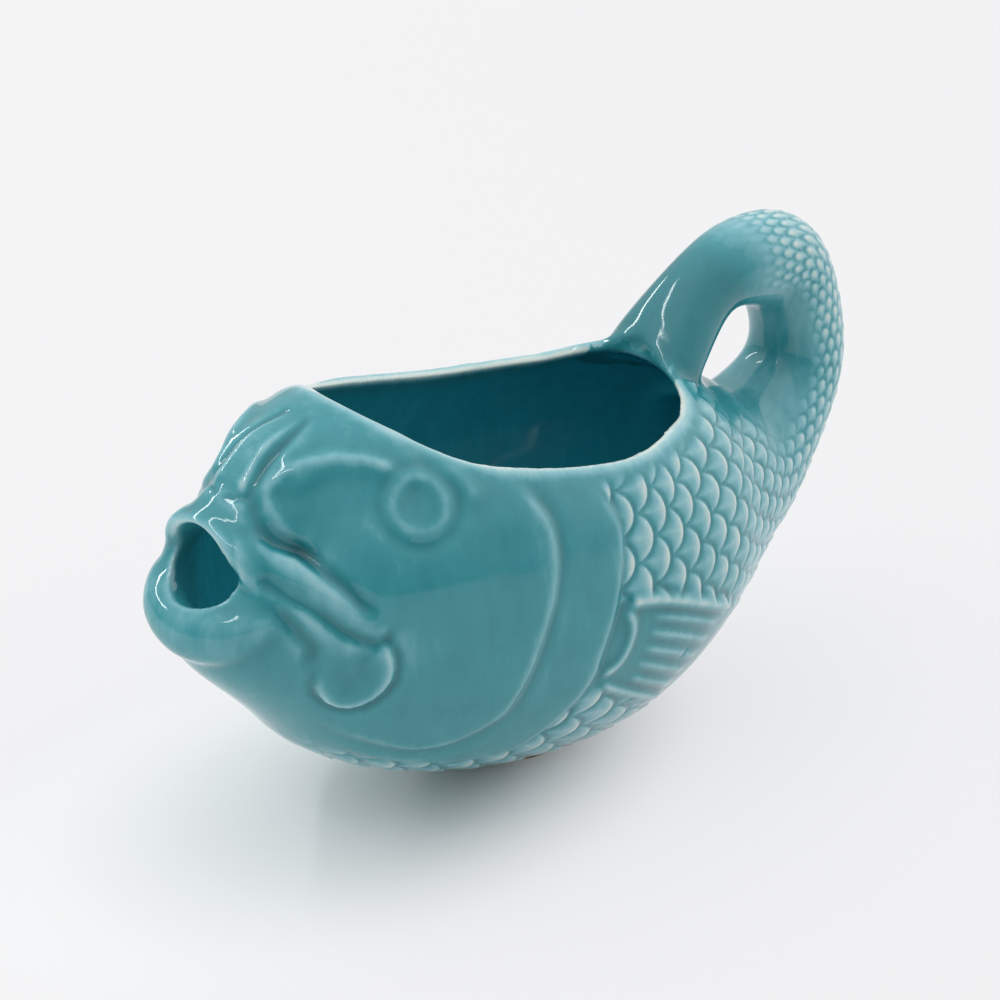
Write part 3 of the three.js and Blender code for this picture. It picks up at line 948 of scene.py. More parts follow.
@dataclass
class Face:
    """Brow, nose, eye, jaws and the scroll under them."""

    eye: Point = (-65.1, -30.2, 96.4)
    ring_radius: float = 6.4
    ring_width: float = 1.8
    ring_height: float = 0.5
    moat_radius: float = 9.8
    moat_width: float = 1.8
    moat_depth: float = 0.35
    pupil_width: float = 2.8
    pupil_depth: float = 0.2
    valley: Stroke = Stroke((
        (-93, -7, 101.5), (-96.4, -8.6, 99.2), (-97.2, -12, 95.4), (-95.5, -15.7, 91.4),
        (-91.2, -18.6, 89), (-89.4, -23.4, 86), (-86.6, -29.1, 82.2), (-83.9, -32.3, 78),
        (-80.8, -34.9, 74.4)), Sculpt.GROOVE, 1.2, 2.2, 0.15)
    jaw: Stroke = Stroke((
        (-104, -3, 96), (-102, -9.5, 93.5), (-98.2, -15, 89), (-94.4, -19.4, 85.4), (-91, -24.4, 83),
        (-87.6, -29.9, 78.8), (-84.6, -32.9, 74.2), (-81.6, -34.8, 71.4)), Sculpt.RIDGE, 1.0, 4.0, 0.3)
    jaw_under: Stroke = Stroke((
        (-104, -14.9, 88), (-102.1, -17.7, 86), (-98.2, -20.6, 81.4), (-94.3, -25, 78.4),
        (-91.4, -28, 75.7), (-88.3, -30.7, 72.2), (-84.8, -33, 69.7), (-81.8, -34.7, 68.2),
        (-79.2, -36, 69), (-78.4, -36.2, 71.6), (-79.8, -35.4, 74.6)), Sculpt.GROOVE, 0.7, 1.5, 0.12)
    lip_fold: Stroke = Stroke((
        (-103.6, -15.5, 84.6), (-100.9, -19, 83), (-97.2, -22, 79.6), (-94.7, -25.4, 76.6),
        (-92.3, -27.8, 73), (-89.6, -30, 69.4), (-86, -32.2, 66.8),
        (-82.6, -34, 65)), Sculpt.RIDGE, 1.1, 3.7, 0.25)
    curl: Shingle = Shingle((
        (-84, -33.6, 69.6), (-81, -35.2, 67.4), (-79.4, -35.9, 63.6), (-79.4, -35, 58.2),
        (-82, -32.2, 53.6), (-85.9, -28.4, 51.2), (-89.7, -26, 52.8), (-92.3, -26, 57.4),
        (-91.8, -27.7, 62), (-90, -29.4, 64)), 1.2, 8, 2.2, 0.6, 0.25)
    pocket: Stroke = Stroke((
        (-103.5, -16.5, 79.5), (-100, -21, 78), (-98.2, -23.5, 75.2), (-96.3, -25.2, 72),
        (-94.6, -26.8, 68.4), (-95.2, -26, 64.4), (-95.9, -24, 60)), Sculpt.GROOVE, 1.2, 2.4, 0.3)
    crest: Stroke = Stroke((
        (-66.6, -26.1, 104), (-70, -23.8, 106.1), (-73.7, -20.8, 107.7), (-77.8, -17.6, 108.1),
        (-81.8, -14.9, 107.7), (-85.9, -12.3, 107.1), (-89.2, -10.6, 104.8), (-91.7, -9.2, 102),
        (-92.8, -10, 100), (-92.8, -11.8, 97.5), (-92.5, -14.2, 94.9), (-91.6, -16.1, 92.7),
        (-90.6, -17.7, 90.7)), Sculpt.RIDGE, 0.45, 1.7, 0.12)
    nose_edge: Stroke = Stroke((
        (-99.4, 0, 99.8), (-98.8, -4, 100.1), (-97.4, -6.9, 100.9), (-92, -6.1, 106),
        (-87.3, -5.7, 109.6), (-80, -4.8, 111.6), (-74, -3.2, 112.8)), Sculpt.GROOVE, 0.5, 1.0, 0.12)
    eye_fold: Stroke = Stroke((
        (-61, -27, 104), (-56, -30, 103), (-52.5, -34, 99),
        (-51.5, -37, 93.5)), Sculpt.RIDGE, 0.6, 2.4, 0.3)

    def carve(self, skin: Skin) -> None:
        """Carves both sides of the face.

        Args:
            skin: what is carved.
        """
        lines = (
            self.crest, self.nose_edge, self.valley, self.jaw, self.jaw_under, self.lip_fold,
            self.curl, self.pocket, self.eye_fold,
        )
        for line in lines:
            line.carve(skin)
        from_eye = np.linalg.norm(skin.folded - np.array(self.eye), axis=1)
        ring = hump(from_eye, self.ring_radius, self.ring_width) * self.ring_height
        moat = hump(from_eye, self.moat_radius, self.moat_width) * self.moat_depth
        pupil = hump(from_eye, 0, self.pupil_width) * self.pupil_depth
        skin.height += ring - moat - pupil


@dataclass
class NoseBridge:
    """The flat field with crisp edges along the arched bridge of the nose, as rows of x, z, half width."""

    profile: Points = (
        (-97.8, 101.3, 6.2), (-92, 107, 5.2), (-87.3, 110.3, 5), (-80, 112.2, 4), (-74, 113, 2),
        (-68, 115, 0.5))
    samples: int = 120
    half_step: float = 1.2
    deepest: float = 6.0
    edge: float = 1.8
    front: Span = (0, 0.06)
    back: Span = (0.9, 0.5)
    soft_x: Span = (-66, -72)
    soft_y: Span = (12, 8)
    soft_z: Span = (95, 99)
    rounds: int = 3

    def press(self, fish: Piece, skin: Skin, voxel: float) -> None:
        """Presses the field into the form and softens it.

        Args:
            fish: the raw form.
            skin: its corners, which are moved.
            voxel: the size of its faces.
        """
        profile = Spine([Section(x, z, half, 1) for x, z, half in self.profile])
        value, slope = profile.sample(np.linspace(0, profile.last, self.samples))
        best = np.full(len(skin.points), np.inf)
        shift = np.zeros((len(skin.points), 3))
        for (x, z, half, _), (dx, dz, _, _), share in zip(value, slope, np.linspace(0, 1, self.samples)):
            size = math.hypot(dx, dz)
            offset = skin.folded[:, [0, 2]] - (x, z)
            along = np.abs((offset[:, 0] * dx + offset[:, 1] * dz) / size)
            above = (offset[:, 1] * dx - offset[:, 0] * dz) / size
            closer = (along < self.half_step) & (np.abs(above) < self.deepest) & (along < best)
            best = np.where(closer, along, best)
            inside = ease(self.edge, -self.edge, -skin.folded[:, 1] - half)
            ends = float(ease(*self.back, share) * ease(*self.front, share))
            step = -above * (inside * ends * closer * skin.outer)
            move = np.column_stack([-dz / size * step, 0 * step, dx / size * step])
            shift = np.where(closer[:, None], move, shift)
        skin.points = skin.points + shift
        place_corners(skin.mesh, skin.points)
        x, y, z = skin.points.T
        nose = ease(*self.soft_y, np.abs(y)) * ease(*self.soft_x, x) * ease(*self.soft_z, z)
        soften(fish, nose, round(self.rounds / voxel**2))
        skin.mesh, skin.points = fish.data, corners(fish.data)


@dataclass
class Fin:
    """The fan-shaped fin on each flank."""

    top: Stroke = Stroke((
        (-13, -48, 59.5), (-3, -47.6, 57), (13, -46, 50),
        (34, -39.6, 39)), Sculpt.RIDGE, 1.5, 1.7, 0.06)
    low: Stroke = Stroke((
        (-19.6, -45, 38), (-10, -43.5, 32), (2, -40, 24.6), (12, -36, 18)), Sculpt.RIDGE, 1.1, 1.3, 0.1)
    root: Stroke = Stroke((
        (-14.3, -48, 59), (-11.4, -48, 54), (-11.6, -48, 48.5), (-14.5, -46.5, 43),
        (-20.4, -46, 40)), Sculpt.RIDGE, 1.0, 1.4)
    rays: int = 5
    ray: tuple[Sculpt, float, float, float] = (Sculpt.RIDGE, 0.7, 1.2, 0.25)
    ray_start: float = 0.65
    border: float = 2.5
    reach: float = 45.0
    end: Span = (44, 38)

    def carve(self, skin: Skin) -> Array:
        """Carves the fan.

        Args:
            skin: what is carved.

        Returns:
            1 on the fin and 0 off it, for each corner.
        """
        top, low = np.array(self.top.points), np.array(self.low.points)
        for i in range(1, self.rays + 1):
            share = i / (self.rays + 1)
            path = top * (1 - share) + low * share
            path[0] = path[0] * (1 - self.ray_start) + path[1] * self.ray_start
            Stroke(tuple(map(tuple, path)), *self.ray).carve(skin)
        for edge in (self.top, self.low, self.root):
            edge.carve(skin)
        cover = ease(*self.end, skin.folded[:, 0])
        for edge, border in ((self.top, self.border), (self.low, -self.border)):
            near, gap, _ = edge.measure(skin, self.reach)
            side = np.zeros(len(skin.points))
            side[near] = ease(border, 0, gap)
            cover = cover * side
        return cover


@dataclass
class Scales:
    """Rows of overlapping scales from the gill cover to the top of the tail."""

    body_around: float = 28.0
    tail_around: float = 24.0
    pitches: tuple[float, ...] = (
        7.4, 7.4, 7.4, 7.4, 7.2, 6.6, 5.6, 4.7, 4.2, 4.0, 3.9, 3.9, 3.9, 3.9)
    body_height: float = 1.0
    tail_height: float = 0.6
    edge: float = 1.1
    arch_length: float = 1.15
    arch_narrow: float = 1.96
    root_lift: float = 0.25
    side_drop: float = 0.35
    mean_lift: float = 0.5
    gill_fade: Span = (1.5, 4)
    rim_fade: Span = (1.5, 5)
    tail_fade: Span = (AT_TOP + 0.6, AT_TOP - 0.4)
    tail_back: Span = (0.1, 0.55)
    loin_back: Span = (0.55, 0.85)
    chin_fade: Span = (-92, -70)
    stem: Span = (AT_TOP + 0.4, AT_TOP + 1.2)
    # Scale tips break pale as thin glaze does, and the scales are painted paler still as painted light and
    # highlight on the flank that faces the light.
    tip_break_and_highlight: float = 0.38
    tail_tip_drop: float = 0.14
    # Painted light: the whole tail is painted paler for the light falling on it from the right; the stem is
    # given a darker tone.
    tail_painted_light: float = 0.1
    stem_dark: float = 0.32
    samples: int = 1400

    def lift(self, skin: Skin) -> Array:
        """Finds how far each corner is raised by the scale that it lies on.

        Args:
            skin: the corners.

        Returns:
            The rise of each as a share of the scale's height.
        """
        fine = np.linspace(0, FISH.last, self.samples)
        _, slope = FISH.sample(fine)
        speed = np.hypot(slope[:, 0], slope[:, 1])
        pitch = np.interp(fine, np.arange(len(self.pitches)), self.pitches)
        rows = np.concatenate([[0], np.cumsum((speed / pitch)[:-1] * np.diff(fine))])
        w = np.interp(skin.place, fine, rows)
        size = np.interp(skin.place, fine, pitch)
        change = self.tail_around - self.body_around
        around = self.body_around + change * ease(AT_LOIN, AT_ROOT, skin.place)
        v = around * skin.rise / (2 * np.pi)
        ahead = np.full(len(w), np.inf)
        passed = np.full(len(w), -np.inf)
        aside = np.zeros(len(w))
        base = np.floor(w)
        for step in (-2, -1, 0, 1):
            row = base + step
            t = v - np.where(row % 2 == 1, 0.5, 0.0)
            t = t - np.round(t)
            free = row + self.arch_length * np.sqrt(np.maximum(1 - (self.arch_narrow * t) ** 2, 0))
            inside = (free > w) & (free < ahead)
            aside = np.where(inside, t, aside)
            ahead = np.where(inside, free, ahead)
            passed = np.where(free <= w, np.maximum(passed, free), passed)
        to_edge = (ahead - w) * size
        from_edge = (w - passed) * size
        share = from_edge / np.maximum(from_edge + to_edge, 1e-6)
        lift = (self.root_lift + (1 - self.root_lift) * share) * (1 - self.side_drop * (2 * aside) ** 2)
        return lift * ease(0, self.edge, to_edge) * ease(-0.2, self.edge * 0.8, from_edge)

    def carve(self, skin: Skin, behind: Array, fin: Array, rim: Array) -> None:
        """Carves the scales, and lays on the skin their pale glaze break with painted light and highlight,
        painted light over the tail and a darker tone on its stem.

        Args:
            skin: what is carved.
            behind: how far each corner lies behind the gill cover.
            fin: 1 where the fin covers the flank.
            rim: how far each corner lies from the rim.
        """
        place, rise = skin.place, np.sin(skin.rise)
        lift = self.lift(skin)
        change = self.tail_height - self.body_height
        height = self.body_height + change * ease(AT_FLANK, AT_ROOT + 0.5, place)
        on_tail = ease(AT_FLANK, AT_ROOT, place)
        fade = ease(*self.gill_fade, behind) * (1 - fin) * ease(*self.rim_fade, rim)
        fade = fade * ease(*self.tail_fade, place)
        fade = fade * (1 - on_tail * ease(*self.tail_back, rise))
        fade = fade * (1 - ease(AT_LOIN, AT_FLANK, place) * ease(*self.loin_back, rise))
        fade = fade * ease(*self.chin_fade, skin.folded[:, 0])
        skin.height += height * (lift - self.mean_lift) * fade
        stem = ease(*self.stem, place)
        # Pale glaze break on the scale tips, with painted light and highlight on the scales.
        tips = (self.tip_break_and_highlight - self.tail_tip_drop * on_tail) * (lift - 0.1) * fade
        # Painted light over the tail, less a darker tone on its stem.
        skin.pale += (tips + self.tail_painted_light * on_tail - self.stem_dark * stem) * skin.outer


# Finishes


class NodeTable:
    """The nodes of one material or of the world, with short ways to add and join them."""

    def __init__(self, owner: Material | bpy.types.World) -> None:
        """Takes the material or world and turns its nodes on."""
        owner.use_nodes = True
        self.nodes, self.links = owner.node_tree.nodes, owner.node_tree.links

    def feed(self, node: Node, inputs: dict) -> Node:
        """Joins sockets to a node's inputs, or sets their values.

        Args:
            node: the node.
            inputs: a socket or a value for each input, by the input's name or number.

        Returns:
            The node.
        """
        for name, value in inputs.items():
            if isinstance(value, Socket):
                self.links.new(value, node.inputs[name])
            else:
                node.inputs[name].default_value = value
        return node

    def add(self, kind: str, inputs: dict | None = None, **settings: object) -> Node:
        """Adds a node.

        Args:
            kind: Blender's name for the node, without ShaderNode.
            inputs: what its inputs get.
            settings: its other values by name.

        Returns:
            The node.
        """
        node = self.nodes.new("ShaderNode" + kind)
        for name, value in settings.items():
            setattr(node, name, value)
        return self.feed(node, inputs or {})

    def place(self) -> Socket:
        """Gives the place on the object."""
        return self.add("TexCoord").outputs["Object"]

    def math(self, operation: str, *values: object) -> Socket:
        """Gives the result of a sum on numbers."""
        return self.add("Math", dict(enumerate(values)), operation=operation).outputs["Value"]

    def vector(self, operation: str, *values: object) -> Node:
        """Adds a sum on vectors and gives its node."""
        return self.add("VectorMath", dict(enumerate(values)), operation=operation)

    def noise(self, place: Socket, **inputs: float) -> Socket:
        """Gives a noise at a place, by its scale, detail and distortion."""
        return self.add("TexNoise", {"Vector": place, **inputs}).outputs["Fac"]

    def ramp(self, share: Socket, stops: Stops, kind: str = "LINEAR") -> Socket:
        """Adds a ramp of colours.

        Args:
            share: where on the ramp the colour is taken.
            stops: places on the ramp with their colours.
            kind: how the colours run into each other.

        Returns:
            The colour.
        """
        node = self.add("ValToRGB", {"Fac": share})
        node.color_ramp.interpolation = kind
        elements = node.color_ramp.elements
        for element, (place, colour) in zip(elements, (stops[0], stops[-1])):
            element.position, element.color = place, colour
        for place, colour in stops[1:-1]:
            elements.new(place).color = colour
        return node.outputs["Color"]

    def principled(self, inputs: dict) -> Socket:
        """Sets the material's own shader and gives its result."""
        return self.feed(self.nodes["Principled BSDF"], inputs).outputs["BSDF"]


@dataclass(frozen=True)
class Glaze:
    """The glossy glaze, which breaks pale on edges and pools dark in hollows, with painted light on the
    scales and the tail and a painted shade and bounce tint inside the bowl.
    """

    roughness: float = 0.08
    ior: float = 1.5
    stops: Stops = (
        (0.0, (0.005, 0.100, 0.122, 1)),
        (0.40, (0.026, 0.220, 0.254, 1)),
        (0.56, (0.044, 0.282, 0.322, 1)),
        (0.72, (0.165, 0.430, 0.485, 1)),
        (0.88, (0.36, 0.575, 0.60, 1)),
        (1.0, (0.57, 0.67, 0.63, 1)),
    )
    # Painted shade and bounce light: inside the bowl the glaze is tinted less red and more green and blue,
    # a more saturated teal for the shade and the teal light bouncing within it.
    bowl_shade_and_bounce_tint: Colour = (0.75, 1.35, 1.45, 1)
    cloud_scale: float = 70.0
    cloud_detail: float = 5.0
    streak_scale: float = 320.0
    streak_detail: float = 4.0
    streak_twist: float = 0.4
    streak_stretch: Point = (1, 1, 0.18)
    streak_share: float = 0.8
    flow: float = 0.22
    flow_level: float = -0.2
    near_rounds: int = 5
    far_rounds: int = 27
    near_share: float = 2.1
    far_share: float = 0.07
    base_tone: float = 0.5
    contrast: float = 0.55
    rim_calm: Span = (6, 3)
    rim_pale: float = 0.2
    rim_width: float = 1.5
    rim_end: Span = (38, 33)
    lining: Span = (-0.5, -1.6)
    bowl_depth: Span = (-1.4, -2.2)
    bowl_top: Span = (2, 7)
    bowl_front: Span = (-96, -86)

    def material(self) -> Material:
        """Mixes the glaze from the tone that each corner holds (its glaze thickness with painted light on
        the scales and the tail), a flow along the wall, and a painted shade and bounce tint inside the
        bowl.

        Returns:
            The material.
        """
        glaze = bpy.data.materials.new("glaze")
        table = NodeTable(glaze)
        tone = table.add("Attribute", attribute_name="tone").outputs["Fac"]
        inside = table.add("Attribute", attribute_name="inside").outputs["Fac"]
        place = table.place()
        stretched = table.vector("MULTIPLY", place, self.streak_stretch).outputs["Vector"]
        cloud = table.noise(place, Scale=self.cloud_scale, Detail=self.cloud_detail)
        streak = table.noise(
            stretched, Scale=self.streak_scale, Detail=self.streak_detail, Distortion=self.streak_twist)
        blend = table.math("MULTIPLY_ADD", streak, self.streak_share, cloud)
        flow = table.math("MULTIPLY_ADD", blend, self.flow, self.flow_level)
        colour = table.ramp(table.math("ADD", tone, flow), self.stops)
        # Painted shade and bounce light: the bowl's inside takes the saturated teal tint.
        bowl_tinted = table.add(
            "Mix", {"Factor": inside, "A": colour, "B": self.bowl_shade_and_bounce_tint},
            data_type="RGBA", blend_type="MULTIPLY").outputs["Result"]
        table.principled({"Roughness": self.roughness, "IOR": self.ior, "Base Color": bowl_tinted})
        return glaze

    def relief(self, mesh: Mesh, voxel: float) -> Array:
        """Finds how far each corner stands out of the forms around it.

        Args:
            mesh: the carved mesh.
            voxel: the size of its faces.

        Returns:
            A tone for each corner: positive on edges and ridges, negative in hollows.
        """
        points, normals = corners(mesh), corner_normals(mesh)
        near = spread(mesh, points, round(self.near_rounds / voxel**2))
        far = spread(mesh, near, round(self.far_rounds / voxel**2))
        fine = ((points - near) * normals).sum(1)
        return self.near_share * fine + self.far_share * ((points - far) * normals).sum(1)

    def pour(self, mesh: Mesh, rim: Array, skin: Skin, voxel: float) -> None:
        """Keeps on each corner a tone, from how thick the glaze lies there with the painted light that the
        skin holds, and whether it is inside the bowl, which gets a painted shade and bounce tint.

        Args:
            mesh: the carved mesh.
            rim: how far each corner lies from the rim.
            skin: where each corner lies, and the paleness laid on it: glaze breaking on the scales with
                painted light and highlight, painted light on the tail and a darker tone on the stem.
            voxel: the size of the faces.
        """
        tone = self.relief(mesh, voxel)
        calm = spread(mesh, tone, round(self.near_rounds / voxel**2))
        tone += (calm - tone) * ease(*self.rim_calm, rim)
        x = corners(mesh)[:, 0]
        lining = ease(*self.lining, skin.out)
        rim_line = self.rim_pale * (1 + lining) * hump(rim, 0, self.rim_width) * ease(*self.rim_end, x)
        tone = self.base_tone + self.contrast * tone + rim_line + skin.pale
        # Where the painted shade and bounce tint goes: deep inside the bowl, away from the rim and the
        # mouth.
        inside = ease(*self.bowl_depth, skin.out) * ease(*self.bowl_top, rim)
        inside = inside * ease(*self.bowl_front, x)
        for name, values in zip(GLAZE_VALUES, (tone, inside)):
            layer = mesh.attributes.new(name, "FLOAT", "POINT")
            layer.data.foreach_set("value", np.clip(values, 0, 1).astype(np.float32))


@dataclass(frozen=True)
class BareClay:
    """Tan clay without glaze, with a fine grain."""

    roughness: float = 0.85
    stops: Stops = ((0.3, (0.26, 0.17, 0.10, 1)), (0.7, (0.48, 0.35, 0.23, 1)))
    grain_scale: float = 420.0
    grain_detail: float = 6.0
    bump: float = 0.3
    bump_height: float = 0.0004

    def material(self) -> Material:
        """Mixes the bare clay.

        Returns:
            The material.
        """
        clay = bpy.data.materials.new("bare_clay")
        table = NodeTable(clay)
        grain = table.noise(table.place(), Scale=self.grain_scale, Detail=self.grain_detail)
        bump = {"Strength": self.bump, "Distance": self.bump_height, "Height": grain}
        table.principled({
            "Roughness": self.roughness,
            "Base Color": table.ramp(grain, self.stops),
            "Normal": table.add("Bump", bump).outputs["Normal"],
        })
        return clay


@dataclass(frozen=True)
class PalePaper:
    """Pale studio paper that keeps the boat's shadow under it and glows beyond as painted light, and is
    darkened in front of the boat as painted shade for the dim room there.
    """

    roughness: float = 0.9
    specular: float = 0.1
    stops: Stops = ((0.0, (0.2, 0.2, 0.205, 1)), (1.0, (0.87, 0.865, 0.865, 1)))
    away: Point = (0.68, 0.73, 0)
    dark_end: float = -1.3
    pale_start: float = -0.25
    glow: Colour = (0.86, 0.86, 0.875, 1)
    most_glow: float = 0.8
    shadow_squeeze: Point = (0.6, 1, 0)
    shadow_offset: Point = (0.042, -0.008, 0)
    shadow_core: float = 0.028
    shadow_end: float = 0.08

    def material(self) -> Material:
        """Mixes the paper, which glows to those rays that see it, except under the boat.

        Returns:
            The material.
        """
        paper = bpy.data.materials.new("pale_paper")
        table = NodeTable(paper)
        place = table.place()
        # Painted shade: towards the camera the paper darkens, standing for the dim room in front of the
        # boat.
        away = table.vector("DOT_PRODUCT", place, self.away).outputs["Value"]
        reach = {"Value": away, "From Min": self.dark_end, "From Max": self.pale_start}
        fade = table.ramp(table.add("MapRange", reach).outputs["Result"], self.stops, "EASE")
        shader = table.principled({
            "Roughness": self.roughness, "Specular IOR Level": self.specular, "Base Color": fade})
        rays = table.add("LightPath").outputs
        seen = rays["Is Camera Ray"]
        for kind in ("Is Glossy Ray", "Is Transmission Ray"):
            seen = table.math("MAXIMUM", seen, rays[kind])
        # Painted light: away from the boat the glow covers the paper's own shading, so its shadow is lifted
        # there and stays full only close under the boat.
        under = table.vector("MULTIPLY_ADD", place, self.shadow_squeeze, self.shadow_offset)
        far = table.vector("LENGTH", under.outputs["Vector"]).outputs["Value"]
        edge = {
            "Value": far, "From Min": self.shadow_core, "From Max": self.shadow_end,
            "To Max": self.most_glow,
        }
        clear = table.add("MapRange", edge, interpolation_type="SMOOTHSTEP").outputs["Result"]
        glow = table.add("Emission", {"Color": self.glow}).outputs["Emission"]
        share = table.math("MULTIPLY", seen, clear)
        mix = table.add("MixShader", {"Fac": share, 1: shader, 2: glow}).outputs["Shader"]
        table.feed(table.nodes["Material Output"], {"Surface": mix})
        return paper


# Stage


@dataclass(frozen=True)
class StripLamp:
    """A strip of soft light that faces the boat, in metres and watts."""

    place: Point
    length: float
    width: float
    watts: float
    aim: Point = (0, 0, 0.05)

    def hang(self) -> None:
        """Hangs the lamp."""
        bpy.ops.object.light_add(type="AREA", location=self.place)
        lamp = bpy.context.object
        lamp.data.shape = "RECTANGLE"
        lamp.data.size = self.length
        lamp.data.size_y = self.width
        lamp.data.energy = self.watts
        point_at(lamp, Vector(self.aim))


@dataclass
class Studio:
    """The floor, the light tent with its lamps, and the camera, in metres."""

    floor_size: float = 8.0
    tent_colour: Colour = (0.99, 0.995, 1.0, 1)
    tent_least: float = 0.11
    tent_lobes: tuple[tuple[Point, float, float], ...] = (
        ((0, 0, 1), 1.0, 0.7),
        ((-0.6, 0.2, 0.8), 4.0, 0.65),
        ((0.95, -0.3, 0.3), 2.5, 1.1),
        ((0.25, 0.95, 0.15), 1.5, 0.4),
    )
    lamps: tuple[StripLamp, ...] = (
        StripLamp((-0.34, 1.93, 1.08), 1.4, 0.08, 5.5),
        StripLamp((-0.79, 0.79, 1.89), 1.4, 0.08, 5),
        StripLamp((-1.3, 0.0, 1.78), 0.9, 0.06, 2.6),
    )
    camera_place: Point = (-0.3986, -0.4211, 0.3405)
    camera_aim: Point = (-0.01173, 0.0, 0.07028)
    lens: float = 88.94
    sensor: float = 36.0
    clip_start: float = 0.01

    def build(self) -> None:
        """Sets the whole stage up."""
        self.lay_floor()
        self.pitch_tent()
        for lamp in self.lamps:
            lamp.hang()
        self.set_camera()

    def lay_floor(self) -> None:
        """Lays the pale floor."""
        deselect()
        bpy.ops.mesh.primitive_plane_add(size=self.floor_size, location=(0, 0, 0))
        floor = bpy.context.object
        floor.name = "floor"
        floor.data.materials.append(PalePaper().material())

    def pitch_tent(self) -> None:
        """Sets the world as a light tent: bright overhead and to the right, dim around the camera."""
        world = bpy.data.worlds.new("studio")
        table = NodeTable(world)
        direction = table.add("TexCoord").outputs["Generated"]
        total = self.tent_least
        for way, power, strength in self.tent_lobes:
            dot = table.vector("DOT_PRODUCT", direction, Vector(way).normalized()).outputs["Value"]
            lobe = table.add("Math", {0: dot, 1: power}, operation="POWER", use_clamp=True)
            total = table.math("MULTIPLY_ADD", lobe.outputs["Value"], strength, total)
        table.feed(table.nodes["Background"], {"Color": self.tent_colour, "Strength": total})
        bpy.context.scene.world = world

    def set_camera(self) -> None:
        """Sets the camera where the photograph was taken from."""
        shift = Vector((origin_shift() * METRES, 0, 0))
        bpy.ops.object.camera_add(location=Vector(self.camera_place) + shift)
        camera = bpy.context.object
        point_at(camera, Vector(self.camera_aim) + shift)
        camera.data.lens = self.lens
        camera.data.sensor_width = self.sensor
        camera.data.clip_start = self.clip_start
        bpy.context.scene.camera = camera


def point_at(piece: Piece, aim: Vector) -> None:
    """Turns a lamp or camera towards a point."""
    piece.rotation_euler = (aim - piece.location).to_track_quat("-Z", "Y").to_euler()


# Finished pieces


FOOT_CENTRE_X = -2.0


def origin_shift() -> float:
    """Gives how far +X the CAD's origin moves the fish, in millimetres, from where its foot is."""
    low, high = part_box("foot_ring")
    return (low.x + high.x) / 2 / METRES - FOOT_CENTRE_X


NODES = {
    Part.HEAD: (
        "head_shell", "lower_lip", "upper_lip", "nose_bridge", "left_upper_jaw", "right_upper_jaw",
        "left_jaw_scroll", "right_jaw_scroll", "left_eye", "right_eye", "left_cheek_plate",
        "right_cheek_plate",
    ),
    Part.BODY: (
        "body_shell", "left_gill_cover", "right_gill_cover", "left_pectoral_fin", "right_pectoral_fin",
    ),
    Part.TAIL: ("tail_handle",),
}


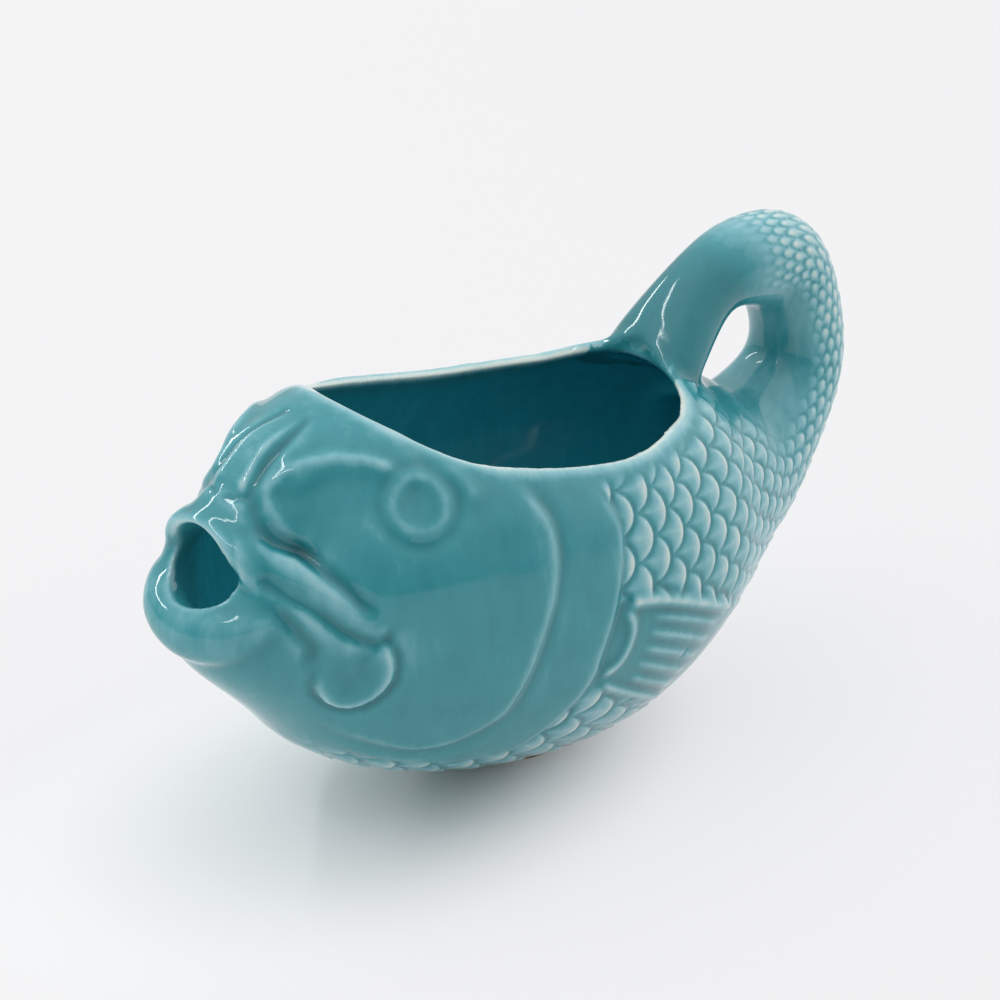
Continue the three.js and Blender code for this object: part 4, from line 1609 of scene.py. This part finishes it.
@dataclass
class GlazedFish:
    """The carved fish, parted into head, body and tail and dressed in its glaze."""

    fish: Piece
    glaze: Material
    most_triangles: int = 320_000
    reach: float = 300.0
    saddle_share: float = 0.8
    landing: Outline = ((400, 300), (37.5, 300), (39.5, 97), (52, 90), (62, 86))

    def section_block(self, place: float, side: int) -> Piece:
        """Builds a block of all that lies on one side of a section.

        Args:
            place: where the section is on the spine.
            side: 1 towards the tail, -1 towards the mouth.

        Returns:
            The block.
        """
        value, along = FISH.heading(np.array([place]))
        x, z = value[0, :2]
        dx, dz = self.reach * along[0]
        ends = [
            (x + ahead * dx - above * dz, z + ahead * dz + above * dx)
            for ahead, above in ((0, -1), (side, -1), (side, 1), (0, 1))
        ]
        return side_block("part", ends, self.reach)

    def tail_block(self) -> Piece:
        """Builds a block of all that lies beyond the root of the tail, and of its landing on the back.

        Returns:
            The block.
        """
        value, along = FISH.heading(np.array([AT_ROOT]))
        x, z, half, _ = value[0]
        dx, dz = along[0]
        rise = self.saddle_share * half
        foot = (x + self.reach * dz, z - self.reach * dx)
        saddle = (x - rise * dz, z + rise * dx)
        outline = [foot, (self.landing[0][0], foot[1]), *self.landing, saddle]
        return side_block("tail", outline, self.reach)

    def split(self) -> None:
        """Parts the fish and finishes each part."""
        activate(self.fish)
        bpy.ops.object.shade_smooth()
        bpy.ops.object.duplicate()
        lighter = bpy.context.object
        count = triangles(lighter)
        if count > self.most_triangles:
            modify(lighter, "DECIMATE", ratio=self.most_triangles / count, use_collapse_triangulate=True)
        for part in Part:
            activate(lighter)
            bpy.ops.object.duplicate()
            piece = bpy.context.object
            piece.name = part.value
            if part is Part.HEAD:
                cut(piece, self.section_block(AT_GILL, 1))
            if part is Part.BODY:
                cut(piece, self.section_block(AT_GILL, -1))
                cut(piece, self.tail_block())
            if part is Part.TAIL:
                cut(piece, self.tail_block(), "INTERSECT")
            self.mend_values(piece)
            self.take_normals(piece)
            self.finish(piece, part)
        remove(lighter)
        remove(self.fish)

    def mend_values(self, piece: Piece) -> None:
        """Gives the corners that a cut has made the glaze that the whole has there.

        Args:
            piece: the part.
        """
        points = corners(self.fish.data)
        tree = tree_of(points)
        places = corners(piece.data)
        for name in GLAZE_VALUES:
            values = np.empty(len(points), np.float32)
            self.fish.data.attributes[name].data.foreach_get("value", values)
            mended = np.empty(len(places), np.float32)
            layer = piece.data.attributes[name].data
            layer.foreach_get("value", mended)
            for index in np.flatnonzero(mended == 0):
                mended[index] = values[tree.find(places[index])[1]]
            layer.foreach_set("value", mended)

    def take_normals(self, piece: Piece) -> None:
        """Shades a part as the whole is shaded, so that no seam shows between the parts.

        Args:
            piece: the part.
        """
        activate(piece)
        bpy.ops.object.shade_smooth()
        modify(
            piece, "DATA_TRANSFER", object=self.fish, use_loop_data=True,
            data_types_loops={"CUSTOM_NORMAL"}, loop_mapping="POLYINTERP_NEAREST")

    def finish(self, piece: Piece, part: Part) -> None:
        """Brings a piece to metres, gives it its material, hangs it under the root and hides the CAD parts
        that it stands for.

        Args:
            piece: the piece.
            part: which part of the fish it is.
        """
        LOG.info("%s: %d triangles", piece.name, triangles(piece))
        activate(piece)
        bpy.ops.transform.translate(value=(origin_shift(), 0, 0))
        bpy.ops.transform.resize(value=(METRES, METRES, METRES), center_override=(0, 0, 0))
        bpy.ops.object.transform_apply(location=True, rotation=True, scale=True)
        piece.data.materials.clear()
        piece.data.materials.append(self.glaze)
        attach(piece, "root")
        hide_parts(*NODES[part])


class FootRing:
    """The ring that the boat stands on, as the CAD gives it."""

    def dress(self) -> None:
        """Gives the ring its bare clay."""
        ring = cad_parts["foot_ring"]
        ring.data.materials.clear()
        ring.data.materials.append(BareClay().material())
        LOG.info("%s: %d triangles", ring.name, triangles(ring))


def main() -> None:
    """Builds the gravy boat, its stage, lights and camera."""
    logging.basicConfig(level=logging.INFO)
    bpy.context.scene.view_settings.view_transform = "Standard"
    Studio().build()
    clay = Clay(voxel=VOXEL)
    fish = clay.build()
    skin = Skin(fish)
    NoseBridge().press(fish, skin, clay.voxel)
    Face().carve(skin)
    behind = GillCovers().carve(skin)
    fin = Fin().carve(skin)
    rim = clay.rim_distance(skin.points)
    Scales().carve(skin, behind, fin, rim)
    skin.height *= ease(*RIM_CALM, rim)
    skin.settle()
    modify(fish, "SMOOTH", factor=0.5, iterations=LAST_ROUNDS)
    glaze = Glaze()
    glaze.pour(fish.data, rim, skin, clay.voxel)
    GlazedFish(fish, glaze.material()).split()
    FootRing().dress()


if __name__ == "__main__":
    main()
